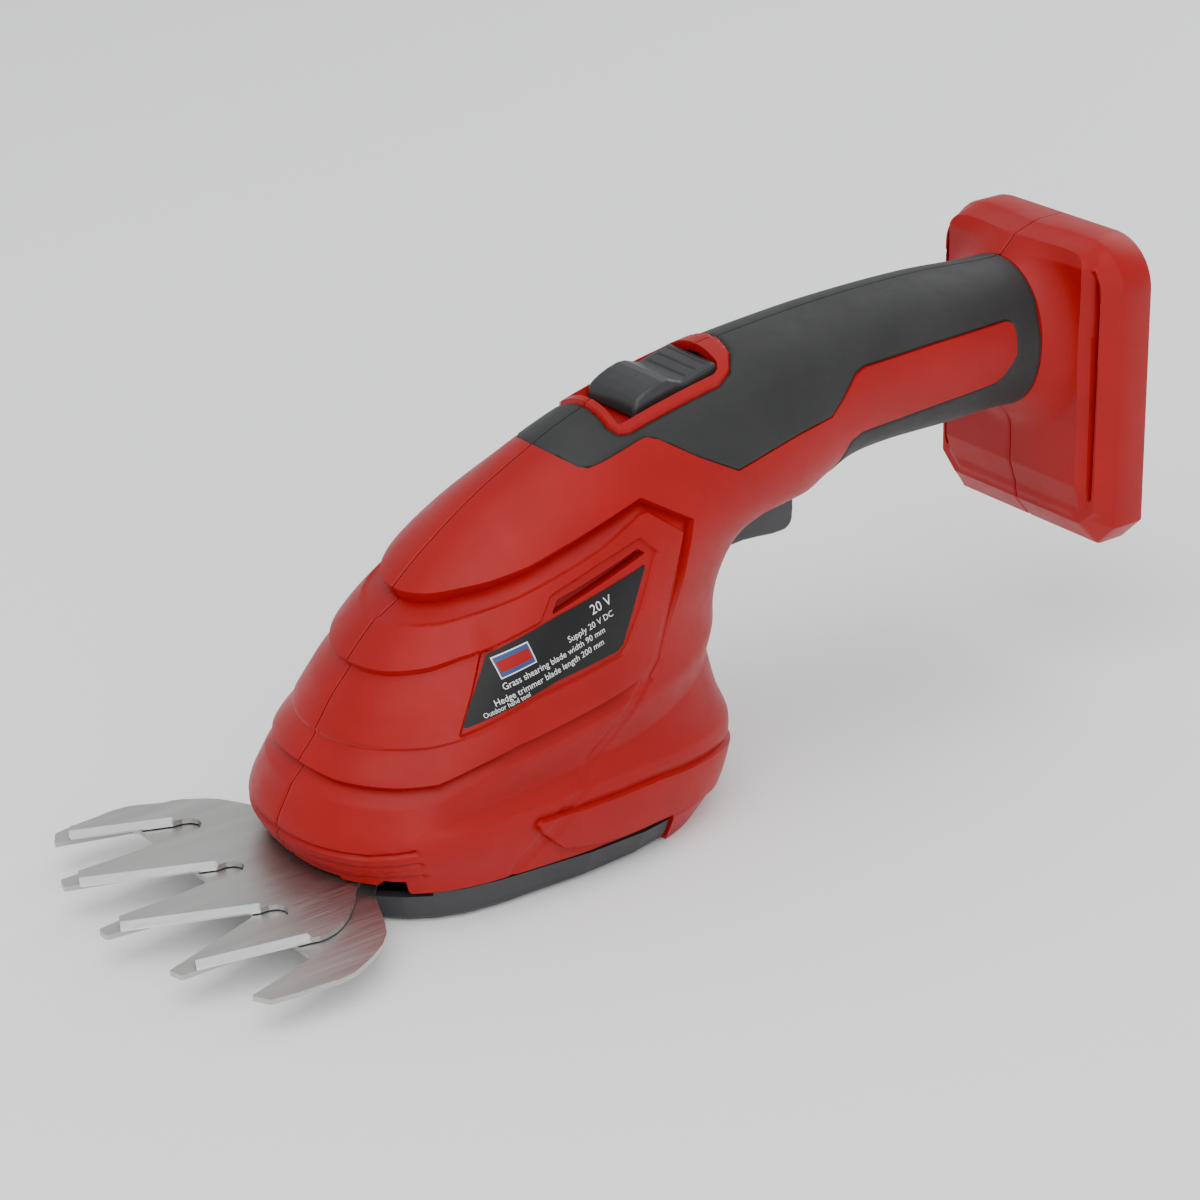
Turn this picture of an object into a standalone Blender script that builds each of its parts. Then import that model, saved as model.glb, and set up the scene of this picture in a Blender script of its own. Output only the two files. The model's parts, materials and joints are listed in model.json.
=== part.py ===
"""Cordless battery grass shears, without a battery.

The shears lie along Y: the toothed blades point to -Y, the handle and the battery foot to +Y, Z is up,
and X = 0 is the parting plane of the two housing halves. The left half is on the +X side.

Lengths below are millimetres, measured from the tip of the centre tooth (y) and from the top face of
the fixed blade (z). place() turns them into the object's frame, whose origin is on the blade pivot axis
at the level of the sole.
"""

import math

import bmesh
import bpy
from mathutils import Matrix, Vector

MM = 0.001

# ---- driving dimensions (mm) ----
CUTTING_WIDTH = 90.0
PIVOT_Y = 80.5            # blade pivot, behind the centre tooth's tip
SOLE_Z = -8.0             # what the tool stands on
GAP = 0.3                 # between pieces that touch or are cut to each other
WALL = 2.4                # housing wall
SKIN = 1.6                # soft grip over the housing
SEAM = 0.15               # half of the parting gap
BLADE_T = 1.2             # both blades are stamped from this sheet
REST_SWING = -5.67        # the moving blade's angle at rest, degrees from straight ahead
FORK_ARM = 26.0           # pivot to drive gear axis
ECCENTRIC = 3.8           # throw of the eccentric pin
GEAR_Y = PIVOT_Y + FORK_ARM
IDLER_Y = GEAR_Y + 22.0
MOTOR_Y = IDLER_Y - 18.4
COVER_END_Y = 129.0       # rear end of the sole cover
LIP_Y = 61.0              # the blade slot is open ahead of this
TRIGGER_PIVOT = (161.0, 62.0)
FOOT_LEAN = 0.042         # the foot's faces lean forward by this per mm of height
FOOT_MID_Z = 66.0

# Housing sections fan round from the level sole to the upright end of the handle.
# front/top point (y, z), rear/under point (y, z), half width, place of the widest point along the
# section, roundness of the front, roundness of the rear, widening towards the rear
SECTIONS = [
    ((50.5, -8.0), (153.0, -8.0), 31.8, .30, 2.3, 2.6, .22),
    ((48.4, 1.5), (158.0, -0.5), 33.0, .30, 2.35, 2.6, .32),
    ((44.0, 10.5), (162.5, 10.0), 34.6, .30, 2.3, 2.5, .22),
    ((47.6, 19.0), (161.0, 19.0), 33.6, .32, 2.3, 2.4, .15),
    ((54.5, 30.5), (160.0, 29.0), 31.7, .36, 2.2, 2.4, .10),
    ((64.0, 44.8), (160.5, 40.0), 29.3, .42, 2.15, 2.3, .0),
    ((76.0, 57.8), (163.5, 48.0), 27.3, .48, 2.1, 2.2, .0),
    ((91.0, 71.0), (169.0, 53.0), 25.0, .52, 2.0, 2.1, .0),
    ((107.0, 80.3), (176.0, 54.5), 23.0, .55, 2.0, 2.0, .0),
    ((124.0, 87.7), (183.0, 54.5), 21.3, .56, 2.0, 2.0, .0),
    ((142.0, 92.9), (190.0, 55.0), 20.0, .56, 2.0, 2.0, .0),
    ((161.0, 96.5), (196.0, 57.5), 18.8, .54, 2.0, 2.0, .0),
    ((181.0, 98.6), (203.0, 60.5), 17.6, .52, 2.0, 2.1, .0),
    ((202.0, 99.9), (214.0, 61.5), 16.8, .50, 2.0, 2.2, .0),
    ((228.0, 100.2), (231.0, 61.4), 16.2, .50, 2.0, 2.3, .0),
    ((257.0, 98.9), (257.0, 60.9), 16.2, .50, 2.0, 2.3, .0),
    ((267.0, 103.0), (268.0, 55.0), 21.0, .50, 2.2, 2.3, .0),
]
HANDLE_START = 8          # first section under the soft grip
HANDLE_END = 15           # last one

# side outlines (y, z)
GRIP_EDGE = [(113.8, 90), (113.8, 83.7), (118.4, 80.9), (121.5, 80.6), (136.0, 84.4), (157.5, 73.0),
             (162.9, 74.0), (187.6, 78.0), (196.0, 86.0), (199.2, 87.2), (246.5, 87.8), (248.6, 86.0),
             (248.9, 79.0), (243.9, 73.4), (240.6, 72.8), (200.0, 71.2), (194.5, 68.0), (192.5, 50.0),
             (257.2, 50), (257.2, 110), (113.8, 110)]
LABEL_EDGE = [(127.0, 60.0), (123.7, 54.0), (118.6, 44.0), (116.8, 42.9), (99.3, 41.0), (75.2, 35.1),
              (84.8, 49.4)]
VENT_EDGE = [(101.3, 54.6), (103.0, 57.7), (125.6, 63.8), (127.7, 62.0)]

LOCK_FRAME = (12.4, 130.1, 167.4)     # red frame round the slide: half width, front, rear
# the battery foot's steps from front to back: y, half width, bottom, top, corner radius
FOOT = [(264.6, 24.5, 33.0, 102.6, 5.0), (268.4, 28.0, 29.5, 104.6, 8.0),
        (271.8, 29.4, 26.6, 105.2, 10.0), (281.0, 30.0, 27.2, 105.2, 12.0)]
# screws through the right half: y, z, how far the boss reaches out
SCREW_SPOTS = [(67.0, 21.0, 22.2), (148.8, 21.0, 18.0), (124.0, 72.0, 15.5), (226.0, 80.0, 13.5),
               (271.5, 38.0, 24.5), (269.5, 94.0, 24.5)]
BOSS_R = 4.6
SCREW_R = 1.5
SCREW_HEAD_R = 2.8
SCREW_TIP = 8.0           # screws end this far into the left half

COLOURS = {
    "red_shell": ((0.56, 0.012, 0.010), 0.38, 0.0),
    "soft_grip": ((0.035, 0.036, 0.038), 0.62, 0.0),
    "dark_plastic": ((0.045, 0.047, 0.05), 0.5, 0.0),
    "label_black": ((0.012, 0.012, 0.013), 0.35, 0.0),
    "blade_steel": ((0.56, 0.55, 0.52), 0.32, 1.0),
    "bright_steel": ((0.62, 0.62, 0.62), 0.25, 1.0),
    "black_steel": ((0.03, 0.03, 0.032), 0.4, 0.8),
    "gear_nylon": ((0.78, 0.76, 0.70), 0.45, 0.0),
    "brass": ((0.65, 0.44, 0.14), 0.3, 1.0),
    "switch_black": ((0.02, 0.02, 0.022), 0.5, 0.0),
}


# ---- scene ----
def clear_scene():
    for obj in list(bpy.data.objects):
        bpy.data.objects.remove(obj, do_unlink=True)


def collection(name):
    coll = bpy.data.collections.new(name)
    bpy.context.scene.collection.children.link(coll)
    return coll


def material(name):
    colour, rough, metal = COLOURS[name]
    mat = bpy.data.materials.new(name)
    mat.use_nodes = True
    shader = mat.node_tree.nodes["Principled BSDF"]
    shader.inputs["Base Color"].default_value = (*colour, 1.0)
    shader.inputs["Roughness"].default_value = rough
    shader.inputs["Metallic"].default_value = metal
    mat.diffuse_color = (*colour, 1.0)
    return mat


def place(point):
    x, y, z = point
    return Vector((x, y - PIVOT_Y, z - SOLE_Z)) * MM


def add_object(name, bm, coll, mat=None, origin=(0.0, PIVOT_Y, SOLE_Z)):
    """Turn a bmesh in mm into an object whose origin is at a point given in mm."""
    base = place(origin)
    for vert in bm.verts:
        vert.co = place(vert.co) - base
    bmesh.ops.recalc_face_normals(bm, faces=bm.faces)
    mesh = bpy.data.meshes.new(name)
    bm.to_mesh(mesh)
    bm.free()
    if mat:
        mesh.materials.append(mat)
    obj = bpy.data.objects.new(name, mesh)
    obj.location = base
    coll.objects.link(obj)
    return obj


def boolean(obj, cutter, operation):
    mod = obj.modifiers.new(operation.lower() + "_" + cutter.name, "BOOLEAN")
    mod.operation = operation
    mod.solver = "EXACT"
    mod.object = cutter


def as_cutter(name, bm):
    obj = add_object(name, bm, CUTTERS)
    obj.hide_render = True
    obj.display_type = "WIRE"
    return obj


# ---- shapes, in mm ----
def join(*parts):
    """One bmesh out of several."""
    whole = bmesh.new()
    for part in parts:
        mesh = bpy.data.meshes.new("part")
        part.to_mesh(mesh)
        part.free()
        whole.from_mesh(mesh)
        bpy.data.meshes.remove(mesh)
    return whole


def box(x0, x1, y0, y1, z0, z1):
    bm = bmesh.new()
    bmesh.ops.create_cube(bm, size=1.0)
    for vert in bm.verts:
        vert.co.x = x0 + (vert.co.x + 0.5) * (x1 - x0)
        vert.co.y = y0 + (vert.co.y + 0.5) * (y1 - y0)
        vert.co.z = z0 + (vert.co.z + 0.5) * (z1 - z0)
    return bm


def cylinder(radius, start, end, segments=24, radius2=None):
    """A cylinder or cone between two points."""
    start = Vector(start)
    end = Vector(end)
    bm = bmesh.new()
    bmesh.ops.create_cone(bm, cap_ends=True, segments=segments, radius1=radius,
                          radius2=radius if radius2 is None else radius2, depth=(end - start).length)
    turn = (end - start).to_track_quat("Z", "Y").to_matrix().to_4x4()
    bmesh.ops.transform(bm, matrix=Matrix.Translation((start + end) / 2) @ turn, verts=bm.verts)
    return bm


def prism(outline, low, high, axis="Z"):
    """An outline drawn out along an axis: (x, y) for Z, (y, z) for X."""
    bm = bmesh.new()
    if axis == "Z":
        verts = [bm.verts.new((a, b, low)) for a, b in outline]
        move = Vector((0, 0, high - low))
    else:
        verts = [bm.verts.new((low, a, b)) for a, b in outline]
        move = Vector((high - low, 0, 0))
    face = bm.faces.new(verts)
    drawn = bmesh.ops.extrude_face_region(bm, geom=[face])
    bmesh.ops.translate(bm, vec=move, verts=[v for v in drawn["geom"] if isinstance(v, bmesh.types.BMVert)])
    return bm


def loft(rings):
    """Closed rings with the same number of points, joined in order and capped at both ends."""
    bm = bmesh.new()
    rows = [[bm.verts.new(p) for p in ring] for ring in rings]
    for low, high in zip(rows, rows[1:]):
        for i in range(len(low)):
            j = (i + 1) % len(low)
            bm.faces.new((low[i], low[j], high[j], high[i]))
    bm.faces.new(rows[0])
    bm.faces.new(rows[-1])
    bmesh.ops.triangulate(bm, faces=bm.faces)
    return bm


def circle(radius, centre=(0.0, 0.0), count=24, start=0.0, sweep=2 * math.pi):
    return [(centre[0] + radius * math.cos(start + sweep * i / count),
             centre[1] + radius * math.sin(start + sweep * i / count)) for i in range(count)]


def turned(points, angle):
    """Rotate (x, y) points about the blade pivot; angle in degrees."""
    c = math.cos(math.radians(angle))
    s = math.sin(math.radians(angle))
    return [(x * c - (y - PIVOT_Y) * s, PIVOT_Y + x * s + (y - PIVOT_Y) * c) for x, y in points]


# ---- the housing's surface ----
def spline(values, v):
    """Catmull-Rom through evenly spaced values."""
    i = min(max(int(math.floor(v)), 0), len(values) - 2)
    t = v - i
    p1 = values[i]
    p2 = values[i + 1]
    p0 = values[i - 1] if i > 0 else 2 * p1 - p2
    p3 = values[i + 2] if i + 2 < len(values) else 2 * p2 - p1
    return .5 * (2 * p1 + (p2 - p0) * t + (2 * p0 - 5 * p1 + 4 * p2 - p3) * t * t
                 + (3 * p1 - p0 - 3 * p2 + p3) * t ** 3)


def section(v, inset=0.0, count=12, over=0.0):
    """Half section v (+X side) as a closed ring from the front/top point round to the rear one.

    inset moves it inwards; over carries its ends that far past the parting plane.
    """
    front, rear, width, widest, nf, nr, taper = [
        Vector((spline([s[k][0] for s in SECTIONS], v), spline([s[k][1] for s in SECTIONS], v)))
        if k < 2 else spline([s[k] for s in SECTIONS], v) for k in range(7)]
    along = (rear - front).normalized()
    front = front + along * inset
    rear = rear - along * inset
    width = width - inset
    ring = []
    for i in range(count + 1):
        angle = math.pi * i / count
        n = nf if angle <= math.pi / 2 else nr
        across = abs(math.sin(angle)) ** (2 / n)
        reach = abs(math.cos(angle)) ** (2 / n)
        s = widest * (1 - reach) if angle <= math.pi / 2 else widest + (1 - widest) * reach
        point = front + (rear - front) * s
        ring.append((max(width * across * (1 + taper * (s - widest)), SEAM), point.x, point.y))
    ends = [(SEAM - over, *ring[0][1:]), (SEAM - over, *ring[-1][1:])]
    return [ends[0]] + ring[1:-1] + [ends[1]]


def body_solid(side):
    rings = [section(i / 2) for i in range(2 * len(SECTIONS) - 1)]
    return loft([[(side * x, y, z) for x, y, z in ring] for ring in rings])


def foot_ring(y, half, low, high, radius, side, over=0.0):
    """Half of a rounded rectangle across the foot, leaning forward like its faces."""
    ring = [(SEAM - over, low)]
    for cx, cz, start in ((half - radius, low + radius, -90), (half - radius, high - radius, 0)):
        for k in range(5):
            a = math.radians(start + 22.5 * k)
            ring.append((cx + radius * math.cos(a), cz + radius * math.sin(a)))
    ring.append((SEAM - over, high))
    return [(side * x, y - FOOT_LEAN * (z - FOOT_MID_Z), z) for x, z in ring]


def hollow_depth(v):
    """How far the cavity lies under the surface: deeper where the soft skin takes its share."""
    if v < HANDLE_START - 1.5 or v > HANDLE_END + 0.4:
        return WALL
    return WALL + SKIN + GAP


def skin(name, side, outline, first, last, outer, inner, grow=0.0, window=None, coll=None, mat=None):
    """A curved skin on one side, between two depths under the surface, trimmed to a side outline.

    Without a material it is a cutter, and it runs past the parting plane.
    """
    over = 0.0 if mat else 1.0
    rings = []
    for i in range(round((last - first) / 0.85) + 1):
        v = first + 0.85 * i
        ring = section(v, outer, 12, over) + section(v, inner, 12, over)[::-1]
        rings.append([(side * x, y, z) for x, y, z in ring])
    obj = add_object(name, loft(rings), coll or CUTTERS, mat)
    if not mat:
        obj.hide_render = True
        obj.display_type = "WIRE"
    edge = prism(grown(outline, grow), side * -5, side * 45, "X")
    boolean(obj, as_cutter(name + "_edge", edge), "INTERSECT")
    if window:
        half, y0, y1 = window
        hole = box(*sorted((side * -5, side * (half - grow))), y0 + grow, y1 - grow, 70, 110)
        boolean(obj, as_cutter(name + "_window", hole), "DIFFERENCE")
    return obj


def housing_half(name, side, coll, mat):
    foot = loft([foot_ring(y, half, low, high, radius, side) for y, half, low, high, radius in FOOT])
    inner_foot = loft([foot_ring(y + back, half - WALL, low + WALL, high - WALL, radius - 1, side, 2.0)
                       for (y, half, low, high, radius), back in zip(FOOT, (3.0, 2.4, 1.6, -2.4))])
    hollow_rings = [section(0.35 + i, hollow_depth(0.35 + i), 9, 2.0) for i in range(16)]
    hollow = loft([[(side * x, y, z) for x, y, z in ring] for ring in hollow_rings])
    shell = add_object(name, body_solid(side), coll, mat)
    boolean(shell, as_cutter(name + "_foot", foot), "UNION")
    boolean(shell, as_cutter(name + "_hollow", hollow), "DIFFERENCE")
    boolean(shell, as_cutter(name + "_foot_hollow", inner_foot), "DIFFERENCE")
    for i, (y, z, reach) in enumerate(SCREW_SPOTS):
        boss = cylinder(BOSS_R, (side * SEAM, y, z), (side * reach, y, z), 14)
        boolean(shell, as_cutter(f"{name}_boss_{i + 1}", boss), "UNION")
        if side > 0:
            bore = cylinder(SCREW_R + GAP, (-1, y, z), (SCREW_TIP + 1, y, z), 12)
        else:
            head = 2 - reach
            bore = cylinder(SCREW_R + GAP, (1, y, z), (head - 1, y, z), 12)
            sink = cylinder(SCREW_HEAD_R + GAP, (head + 1.2, y, z), (-45, y, z), 16)
            boolean(shell, as_cutter(f"{name}_sink_{i + 1}", sink), "DIFFERENCE")
        boolean(shell, as_cutter(f"{name}_bore_{i + 1}", bore), "DIFFERENCE")
    boolean(shell, as_cutter(name + "_sole_opening", box(-45, 45, 30, COVER_END_Y + GAP, -12, 0)), "DIFFERENCE")
    boolean(shell, as_cutter(name + "_blade_slot", box(-45, 45, 30, LIP_Y, -1, 1.8)), "DIFFERENCE")
    boolean(shell, skin(name + "_grip_bed", side, GRIP_EDGE, 6.5, 15.85, -1.2, SKIN + GAP, GAP, LOCK_FRAME),
            "DIFFERENCE")
    boolean(shell, skin(name + "_label_bed", side, LABEL_EDGE, 2.5, 6.75, -2.0, 0.8, GAP), "DIFFERENCE")
    boolean(shell, as_cutter(name + "_trigger_slot", box(-7.6, 7.6, 157, 188.4, 40.0, 67)), "DIFFERENCE")
    boolean(shell, as_cutter(name + "_lock_slot", box(-9.5, 9.5, 130.9, 162.0, 83.4, 106)), "DIFFERENCE")
    boolean(shell, as_cutter(name + "_battery_window", box(-19, 19, 275, 290, 44, 92)), "DIFFERENCE")
    boolean(shell, as_cutter(name + "_vent", prism(VENT_EDGE, side * 15, side * 40, "X")), "DIFFERENCE")
    weld = shell.modifiers.new("weld", "WELD")
    weld.merge_threshold = 0.00003
    return shell


def grown(outline, amount):
    """Push an outline's edges outwards; the outline runs clockwise or anticlockwise."""
    if amount == 0:
        return outline
    area = sum(a[0] * b[1] - b[0] * a[1] for a, b in zip(outline, outline[1:] + outline[:1]))
    sign = 1 if area > 0 else -1
    out = []
    count = len(outline)
    for i in range(count):
        before = Vector(outline[i - 1])
        here = Vector(outline[i])
        after = Vector(outline[(i + 1) % count])
        d1 = (here - before).normalized()
        d2 = (after - here).normalized()
        normal = (Vector((d1.y, -d1.x)) + Vector((d2.y, -d2.x))).normalized() * sign
        out.append(tuple(here + normal * amount))
    return out


# ---- gears ----
def involute(angle):
    return math.tan(angle) - angle


def gear_outline(teeth, module, phase):
    """A spur gear's outline about the origin, one tooth centred on phase (degrees), with backlash."""
    pitch = teeth * module / 2
    base = pitch * math.cos(math.radians(20))
    tip = pitch + 0.85 * module
    root = pitch - 1.2 * module
    half_pitch = (math.pi / 2 / teeth) - 0.14 * module / pitch
    outline = []
    for tooth in range(teeth):
        centre = math.radians(phase) + 2 * math.pi * tooth / teeth
        flank = []
        for radius in (max(base, root + 0.05), tip):
            half = half_pitch + involute(math.radians(20)) - involute(math.acos(min(1.0, base / radius)))
            flank.append((radius, max(half, 0.02)))
        foot = flank[0][1] + 0.01
        side = [(root, foot)] + flank
        for radius, half in side:
            outline.append((radius * math.cos(centre - half), radius * math.sin(centre - half)))
        for radius, half in reversed(side):
            outline.append((radius * math.cos(centre + half), radius * math.sin(centre + half)))
    return outline


def shifted(outline, x, y):
    return [(a + x, b + y) for a, b in outline]


# ---- the parts ----
def mirrored(half):
    """Both sides of an outline given for x > 0, front to back."""
    return half + [(-x, y) for x, y in reversed(half)]


def lower_blade(coll, mat):
    tip = CUTTING_WIDTH / 2
    half = [(1.7, 0.0), (5.0, 28.4), (6.2, 29.6), (12.8, 29.6), (14.0, 28.4), (22.2, 3.2), (25.6, 4.1),
            (25.8, 28.6), (27.0, 29.6), (35.0, 29.6), (36.2, 28.5), (tip - 3.8, 11.3), (tip, 13.6),
            (46.2, 24.0), (46.2, 33.0), (44.5, 37.5), (40.5, 44.3), (37.0, 47.6), (33.0, 49.9),
            (21.3, 55.1), (16.0, 60.0), (14.0, 68.0), (14.0, 90.0), (10.0, 95.0)]
    blade = add_object("lower_blade", prism(mirrored(half), -BLADE_T, 0.0), coll, mat)
    boolean(blade, as_cutter("lower_blade_bore", hole_at(3.3, 0, PIVOT_Y, -4, 3)), "DIFFERENCE")
    return blade


def hole_at(radius, x, y, z0, z1, segments=24):
    return cylinder(radius, (x, y, z0), (x, y, z1), segments)


def upper_blade(coll, mat):
    """Four cutting teeth, drawn as the blade lies at rest."""
    teeth = [(-43.6, 16.6), (-39.9, 14.3), (-31.2, 36.1), (-31.2, 39.0), (-29.0, 41.0), (-26.3, 40.7),
             (-24.7, 38.8), (-24.4, 35.6), (-24.3, 7.9), (-19.5, 5.6), (-7.8, 33.3), (-7.9, 36.2),
             (-6.2, 38.0), (-3.8, 37.8), (-2.3, 36.0), (-2.1, 33.4), (-1.6, 5.0), (2.6, 3.0),
             (14.0, 30.7), (14.0, 33.4), (15.8, 35.2), (18.4, 35.1), (20.6, 33.3), (21.3, 30.3),
             (22.4, 9.1), (26.2, 7.4), (31.2, 32.4), (31.7, 36.0), (30.2, 40.5), (27.4, 44.7),
             (23.0, 49.0), (18.5, 52.5), (14.5, 58.0)]
    left = [(-18.5, 58.5), (-26.4, 54.9), (-30.7, 52.4), (-34.1, 50.2), (-38.3, 44.8), (-40.2, 41.0)]
    heel = turned([(12.5, 68.0), (12.5, 88.0), (8.0, 93.0), (-8.0, 93.0), (-12.5, 88.0), (-12.5, 68.0)],
                  REST_SWING)
    blade = add_object("upper_blade", prism(teeth + heel + left, GAP, GAP + BLADE_T), coll, mat, PIVOT)
    holes = [hole_at(3.3, 0, PIVOT_Y, -2, 4)]
    holes += [hole_at(1.8, x, y, -2, 4, 12) for x, y in RIVETS]
    boolean(blade, as_cutter("upper_blade_holes", join(*holes)), "DIFFERENCE")
    return blade


def drive_fork(coll, mat):
    """The lever riveted on the moving blade; its slot takes the eccentric pin."""
    outline = [(-9.0, 66.0), (9.0, 66.0), (11.5, 74.0), (12.0, 90.0), (15.6, 97.0), (15.6, 117.0),
               (11.0, 117.0), (11.0, 98.4), (-11.0, 98.4), (-11.0, 117.0), (-15.6, 117.0), (-15.6, 97.0),
               (-12.0, 90.0), (-11.5, 74.0)]
    fork = add_object("drive_fork", prism(turned(outline, REST_SWING), 1.8, 3.3), coll, mat, PIVOT)
    holes = [hole_at(3.3, 0, PIVOT_Y, 1, 4)] + [hole_at(1.8, x, y, 1, 4, 12) for x, y in RIVETS]
    boolean(fork, as_cutter("drive_fork_holes", join(*holes)), "DIFFERENCE")
    return fork


def drive_gear(coll, mat):
    gear = join(prism(shifted(gear_outline(32, 1.0, 90), 0, GEAR_Y), 8.0, 12.5))
    obj = add_object("drive_gear", gear, coll, mat, (0, GEAR_Y, 8.0))
    turn = math.acos(FORK_ARM * math.tan(math.radians(-REST_SWING)) / ECCENTRIC)
    pin = (ECCENTRIC * math.cos(turn), GEAR_Y + ECCENTRIC * math.sin(turn))
    boolean(obj, as_cutter("drive_gear_hub", hole_at(7.2, 0, GEAR_Y, 6.6, 9.0)), "UNION")
    boolean(obj, as_cutter("drive_gear_eccentric", hole_at(2.5, *pin, -0.6, 7.5, 20)), "UNION")
    boolean(obj, as_cutter("drive_gear_bore", hole_at(2.8, 0, GEAR_Y, 9.5, 14)), "DIFFERENCE")
    return obj


def idler_gear(coll, mat):
    small = shifted(gear_outline(12, 1.0, 285), 0, IDLER_Y)
    large = shifted(gear_outline(36, 0.8, 270), 0, IDLER_Y)
    obj = add_object("idler_gear", prism(small, 7.6, 13.2), coll, mat, (0, IDLER_Y, 7.6))
    boolean(obj, as_cutter("idler_hub", hole_at(4.4, 0, IDLER_Y, 12.6, 19.0)), "UNION")
    boolean(obj, as_cutter("idler_large", prism(large, 18.6, 22.6)), "UNION")
    boolean(obj, as_cutter("idler_bore", hole_at(2.2, 0, IDLER_Y, 0, 30, 16)), "DIFFERENCE")
    return obj


def plate(name, outline, z0, z1, holes, coll, mat, posts=()):
    obj = add_object(name, prism(outline, z0, z1), coll, mat)
    for i, (x, y, low, high) in enumerate(posts):
        boolean(obj, as_cutter(f"{name}_post_{i + 1}", hole_at(3.0, x, y, low, high, 16)), "UNION")
    if holes:
        cut = join(*[hole_at(r, x, y, z0 - 15, z1 + 15) for r, x, y in holes])
        boolean(obj, as_cutter(name + "_holes", cut), "DIFFERENCE")
    return obj


def rounded_rect(x0, x1, y0, y1, radius, steps=3):
    outline = []
    for cx, cy, start in ((x1 - radius, y0 + radius, -90), (x1 - radius, y1 - radius, 0),
                          (x0 + radius, y1 - radius, 90), (x0 + radius, y0 + radius, 180)):
        for k in range(steps + 1):
            a = math.radians(start + 90 * k / steps)
            outline.append((cx + radius * math.cos(a), cy + radius * math.sin(a)))
    return outline


def sole_cover(coll, mat):
    """The grey cover under the body, a tray that also carries the fixed blade."""
    def full(v, inset):
        half = section(v, inset, 14)
        return half[1:-1] + [(-x, y, z) for x, y, z in reversed(half[1:-1])]
    obj = add_object("sole_cover", loft([full(0.0, 1.6), full(0.12, 0.7), full(0.4, 0.5), full(0.8, 0.5)]),
                     coll, mat)
    keep = box(-45, 45, 51.5, COVER_END_Y, -20, -GAP)
    boolean(obj, as_cutter("sole_cover_keep", keep), "INTERSECT")
    pocket = [full(0.22, 3.2), full(1.2, 3.2)]
    boolean(obj, as_cutter("sole_cover_pocket", loft(pocket)), "DIFFERENCE")
    boolean(obj, as_cutter("sole_cover_rear", box(-27, 27, 110, 140, -5.6, 5)), "DIFFERENCE")
    boolean(obj, as_cutter("sole_cover_front", box(-45, 45, 40, 66, -1.5, 5)), "DIFFERENCE")
    bores = join(*[hole_at(1.8, x, y, -7, 2, 12) for x, y in COVER_SCREWS])
    boolean(obj, as_cutter("sole_cover_bores", bores), "DIFFERENCE")
    sinks = join(*[hole_at(3.2, x, y, -12, -6.6, 16) for x, y in COVER_SCREWS])
    boolean(obj, as_cutter("sole_cover_sinks", sinks), "DIFFERENCE")
    return obj


def screw(name, start, direction, length, radius, head_radius, head, coll, mat):
    """A pan head screw; start is under the head."""
    start = Vector(start)
    direction = Vector(direction)
    obj = add_object(name, cylinder(head_radius, start - direction * head, start, 16), coll, mat)
    shank = cylinder(radius, start - direction * 0.2, start + direction * length, 12)
    boolean(obj, as_cutter(name + "_shank", shank), "UNION")
    slot_at = start - direction * head
    slot = box(-head_radius * 1.2, head_radius * 1.2, -0.35, 0.35, -0.7, 0.7)
    turn = direction.to_track_quat("Z", "Y").to_matrix().to_4x4()
    bmesh.ops.transform(slot, matrix=Matrix.Translation(slot_at) @ turn, verts=slot.verts)
    boolean(obj, as_cutter(name + "_slot", slot), "DIFFERENCE")
    return obj


def coil(name, start, end, radius, wire, turns, coll, mat):
    """A helical spring as a round curve."""
    start = place(start)
    end = place(end)
    axis = end - start
    turn = axis.to_track_quat("Z", "Y")
    curve = bpy.data.curves.new(name, "CURVE")
    curve.dimensions = "3D"
    curve.bevel_depth = wire * MM
    curve.bevel_resolution = 1
    curve.use_fill_caps = True
    steps = turns * 10
    line = curve.splines.new("POLY")
    line.points.add(steps)
    for i in range(steps + 1):
        a = 2 * math.pi * i / 10
        local = Vector((radius * MM * math.cos(a), radius * MM * math.sin(a), axis.length * i / steps))
        line.points[i].co = (*(start + turn @ local), 1.0)
    curve.materials.append(mat)
    obj = bpy.data.objects.new(name, curve)
    coll.objects.link(obj)
    return obj


PIVOT = (0.0, PIVOT_Y, 0.0)
RIVETS = turned([(7.0, 69.5), (-7.0, 69.5)], REST_SWING)
COVER_SCREWS = [(19.0, 72.0), (-19.0, 72.0), (19.0, 124.0), (-19.0, 124.0)]
POSTS = [(19.0, 78.0), (-19.0, 78.0), (19.0, 136.3), (-19.0, 136.3)]


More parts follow.
